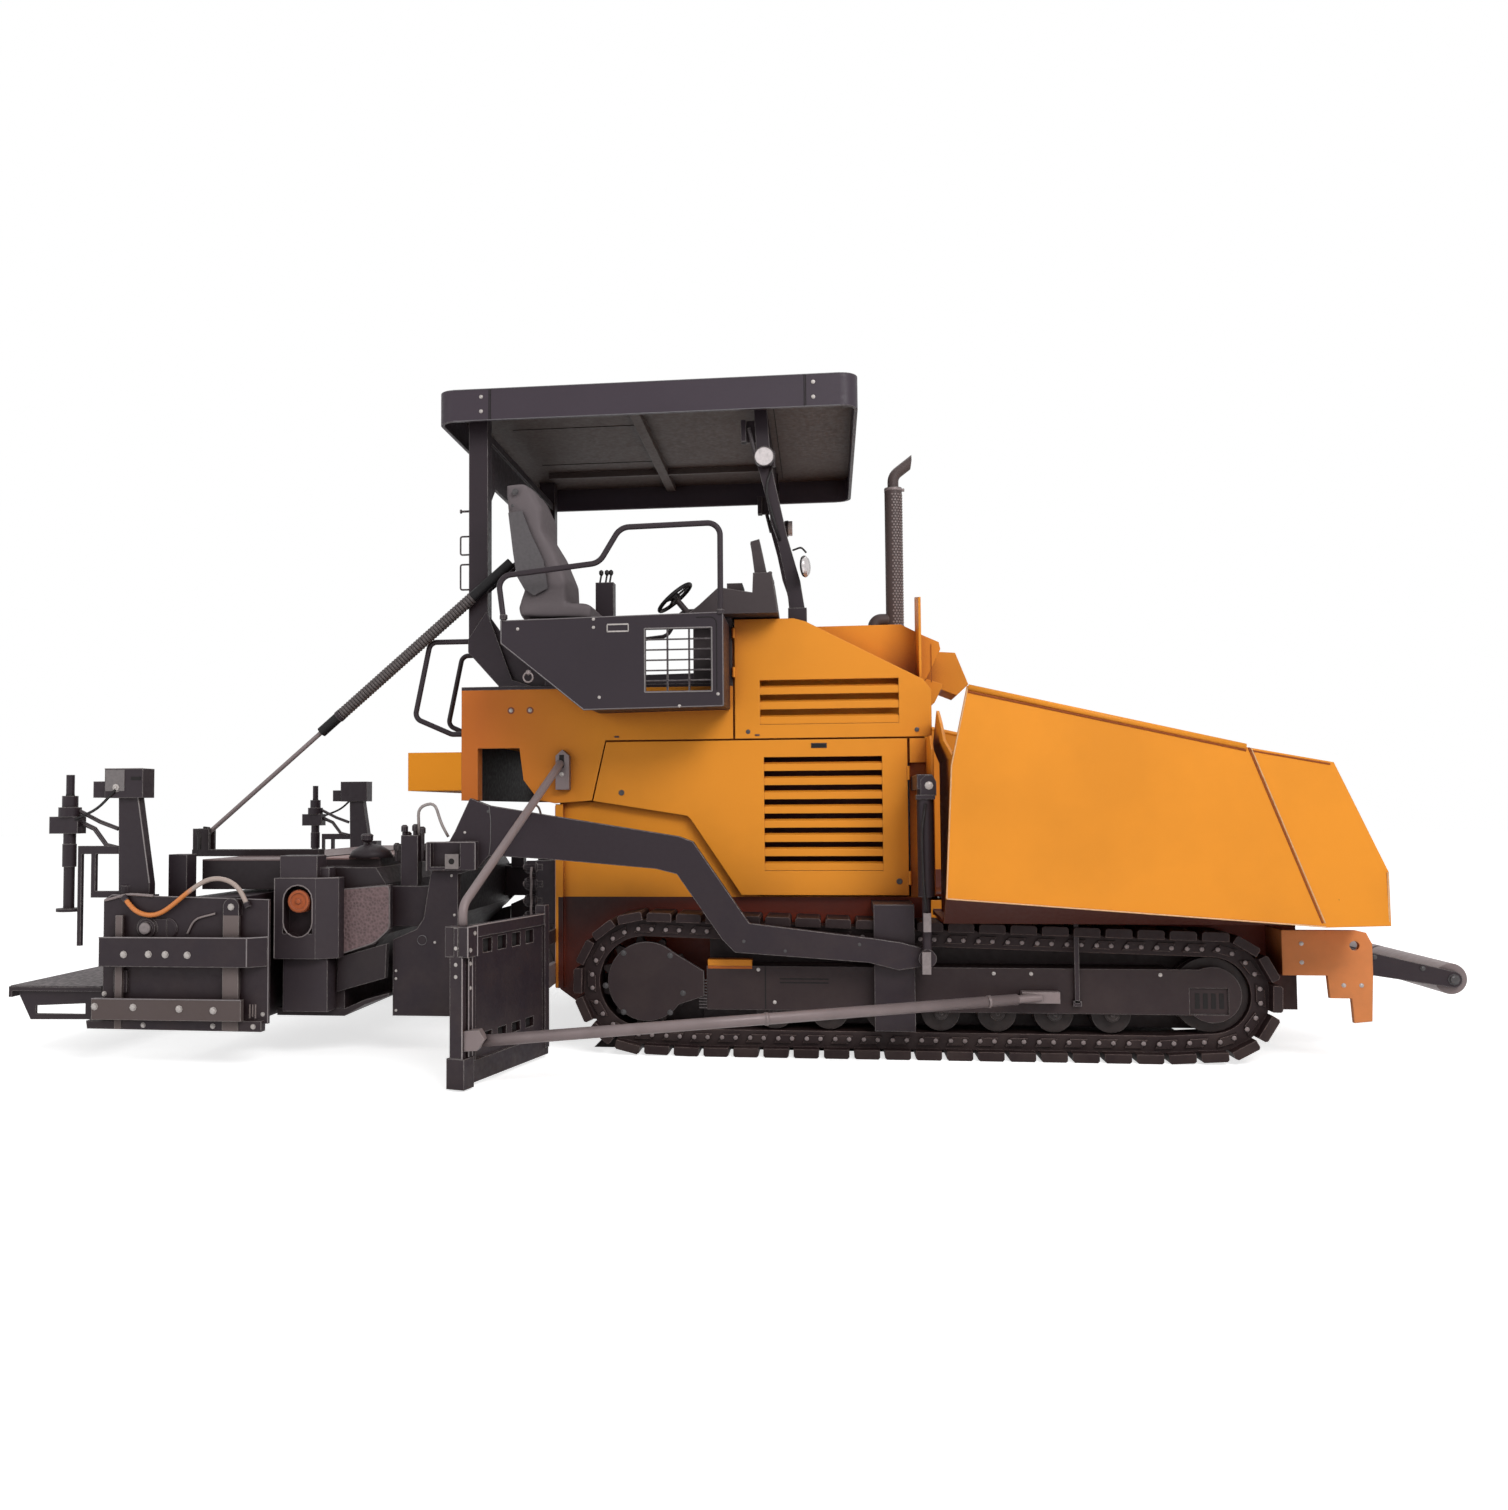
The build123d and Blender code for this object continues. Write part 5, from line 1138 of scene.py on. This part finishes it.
def make_floor():
    """A pale floor that shows white to the camera and keeps the machine's shadow, with a painted
    shadow between the tracks.
    """
    mesh = bpy.data.meshes.new("floor")
    half = FLOOR_HALF
    corners = [(-half, -half, 0), (half, -half, 0), (half, half, 0), (-half, half, 0)]
    mesh.from_pydata(corners, [], [(0, 1, 2, 3)])
    material, tree, shader, where = new_material("floor", 0.9)
    shader.inputs["Emission Color"].default_value = WHITE
    # Painted shadow: dark colour and no glow on the floor between the tracks.
    shadow_mask = inside_box(tree, split(tree, where), *UNDERSIDE_SHADOW)
    glow = product(tree, direct_rays(tree), sums(tree, "SUBTRACT", 1.0, shadow_mask), FLOOR_GLOW)
    wire(tree, (glow, shader.inputs["Emission Strength"]),
         (mixed(tree, shadow_mask, FLOOR_GREY, FLOOR_SHADE), shader.inputs["Base Color"]))
    mesh.materials.append(material)
    placed("floor", mesh)


def make_world():
    """An even white studio that also shows in gloss and glass."""
    world = bpy.data.worlds.new("studio")
    bpy.context.scene.world = world
    world.use_nodes = True
    tree = world.node_tree
    lighting = tree.nodes["Background"]
    backdrop = node(tree, "ShaderNodeBackground")
    for background, strength in ((lighting, WORLD_LIGHT), (backdrop, 1.0)):
        background.inputs["Color"].default_value = WHITE
        background.inputs["Strength"].default_value = strength
    mix = node(tree, "ShaderNodeMixShader")
    wire(tree, (direct_rays(tree), mix.inputs[0]), (lighting.outputs[0], mix.inputs[1]),
         (backdrop.outputs[0], mix.inputs[2]),
         (mix.outputs[0], tree.nodes["World Output"].inputs["Surface"]))


def area_light(name, place, aim, size, power):
    """A soft rectangular lamp."""
    data = bpy.data.lights.new(name, "AREA")
    data.shape, data.size, data.size_y = "RECTANGLE", size[0], size[1]
    data.energy = power
    direction = Vector(aim) - Vector(place)
    turn = direction.to_track_quat("-Z", "Y").to_matrix().to_4x4()
    placed(name, data).matrix_world = Matrix.Translation(place) @ turn


def make_lights():
    """A large key light above the camera's right, and weaker ones from the left and above."""
    area_light("key", (5, -9, 8), (0.3, 0, 1.4), (6, 4), 780)
    area_light("fill", (-8, -8, 4), (-1, 0, 1), (6, 5), 150)
    area_light("top", (0, 2, 10), (0, 0, 1), (9, 7), 300)


bpy.context.scene.view_settings.view_transform = "Standard"
make_camera()
make_floor()
make_world()
make_lights()
finish_nodes()
for details in (body_details, hood_details, pod_details, platform_details, seat_pads, roof_details,
                track_details, chain_details, arm_details, cylinder_details, retaining_details,
                auger_drive_details, gate_details, screed_hoses, stand_details, screed_details,
                walkway_details, stay_details, hopper_details):
    details()
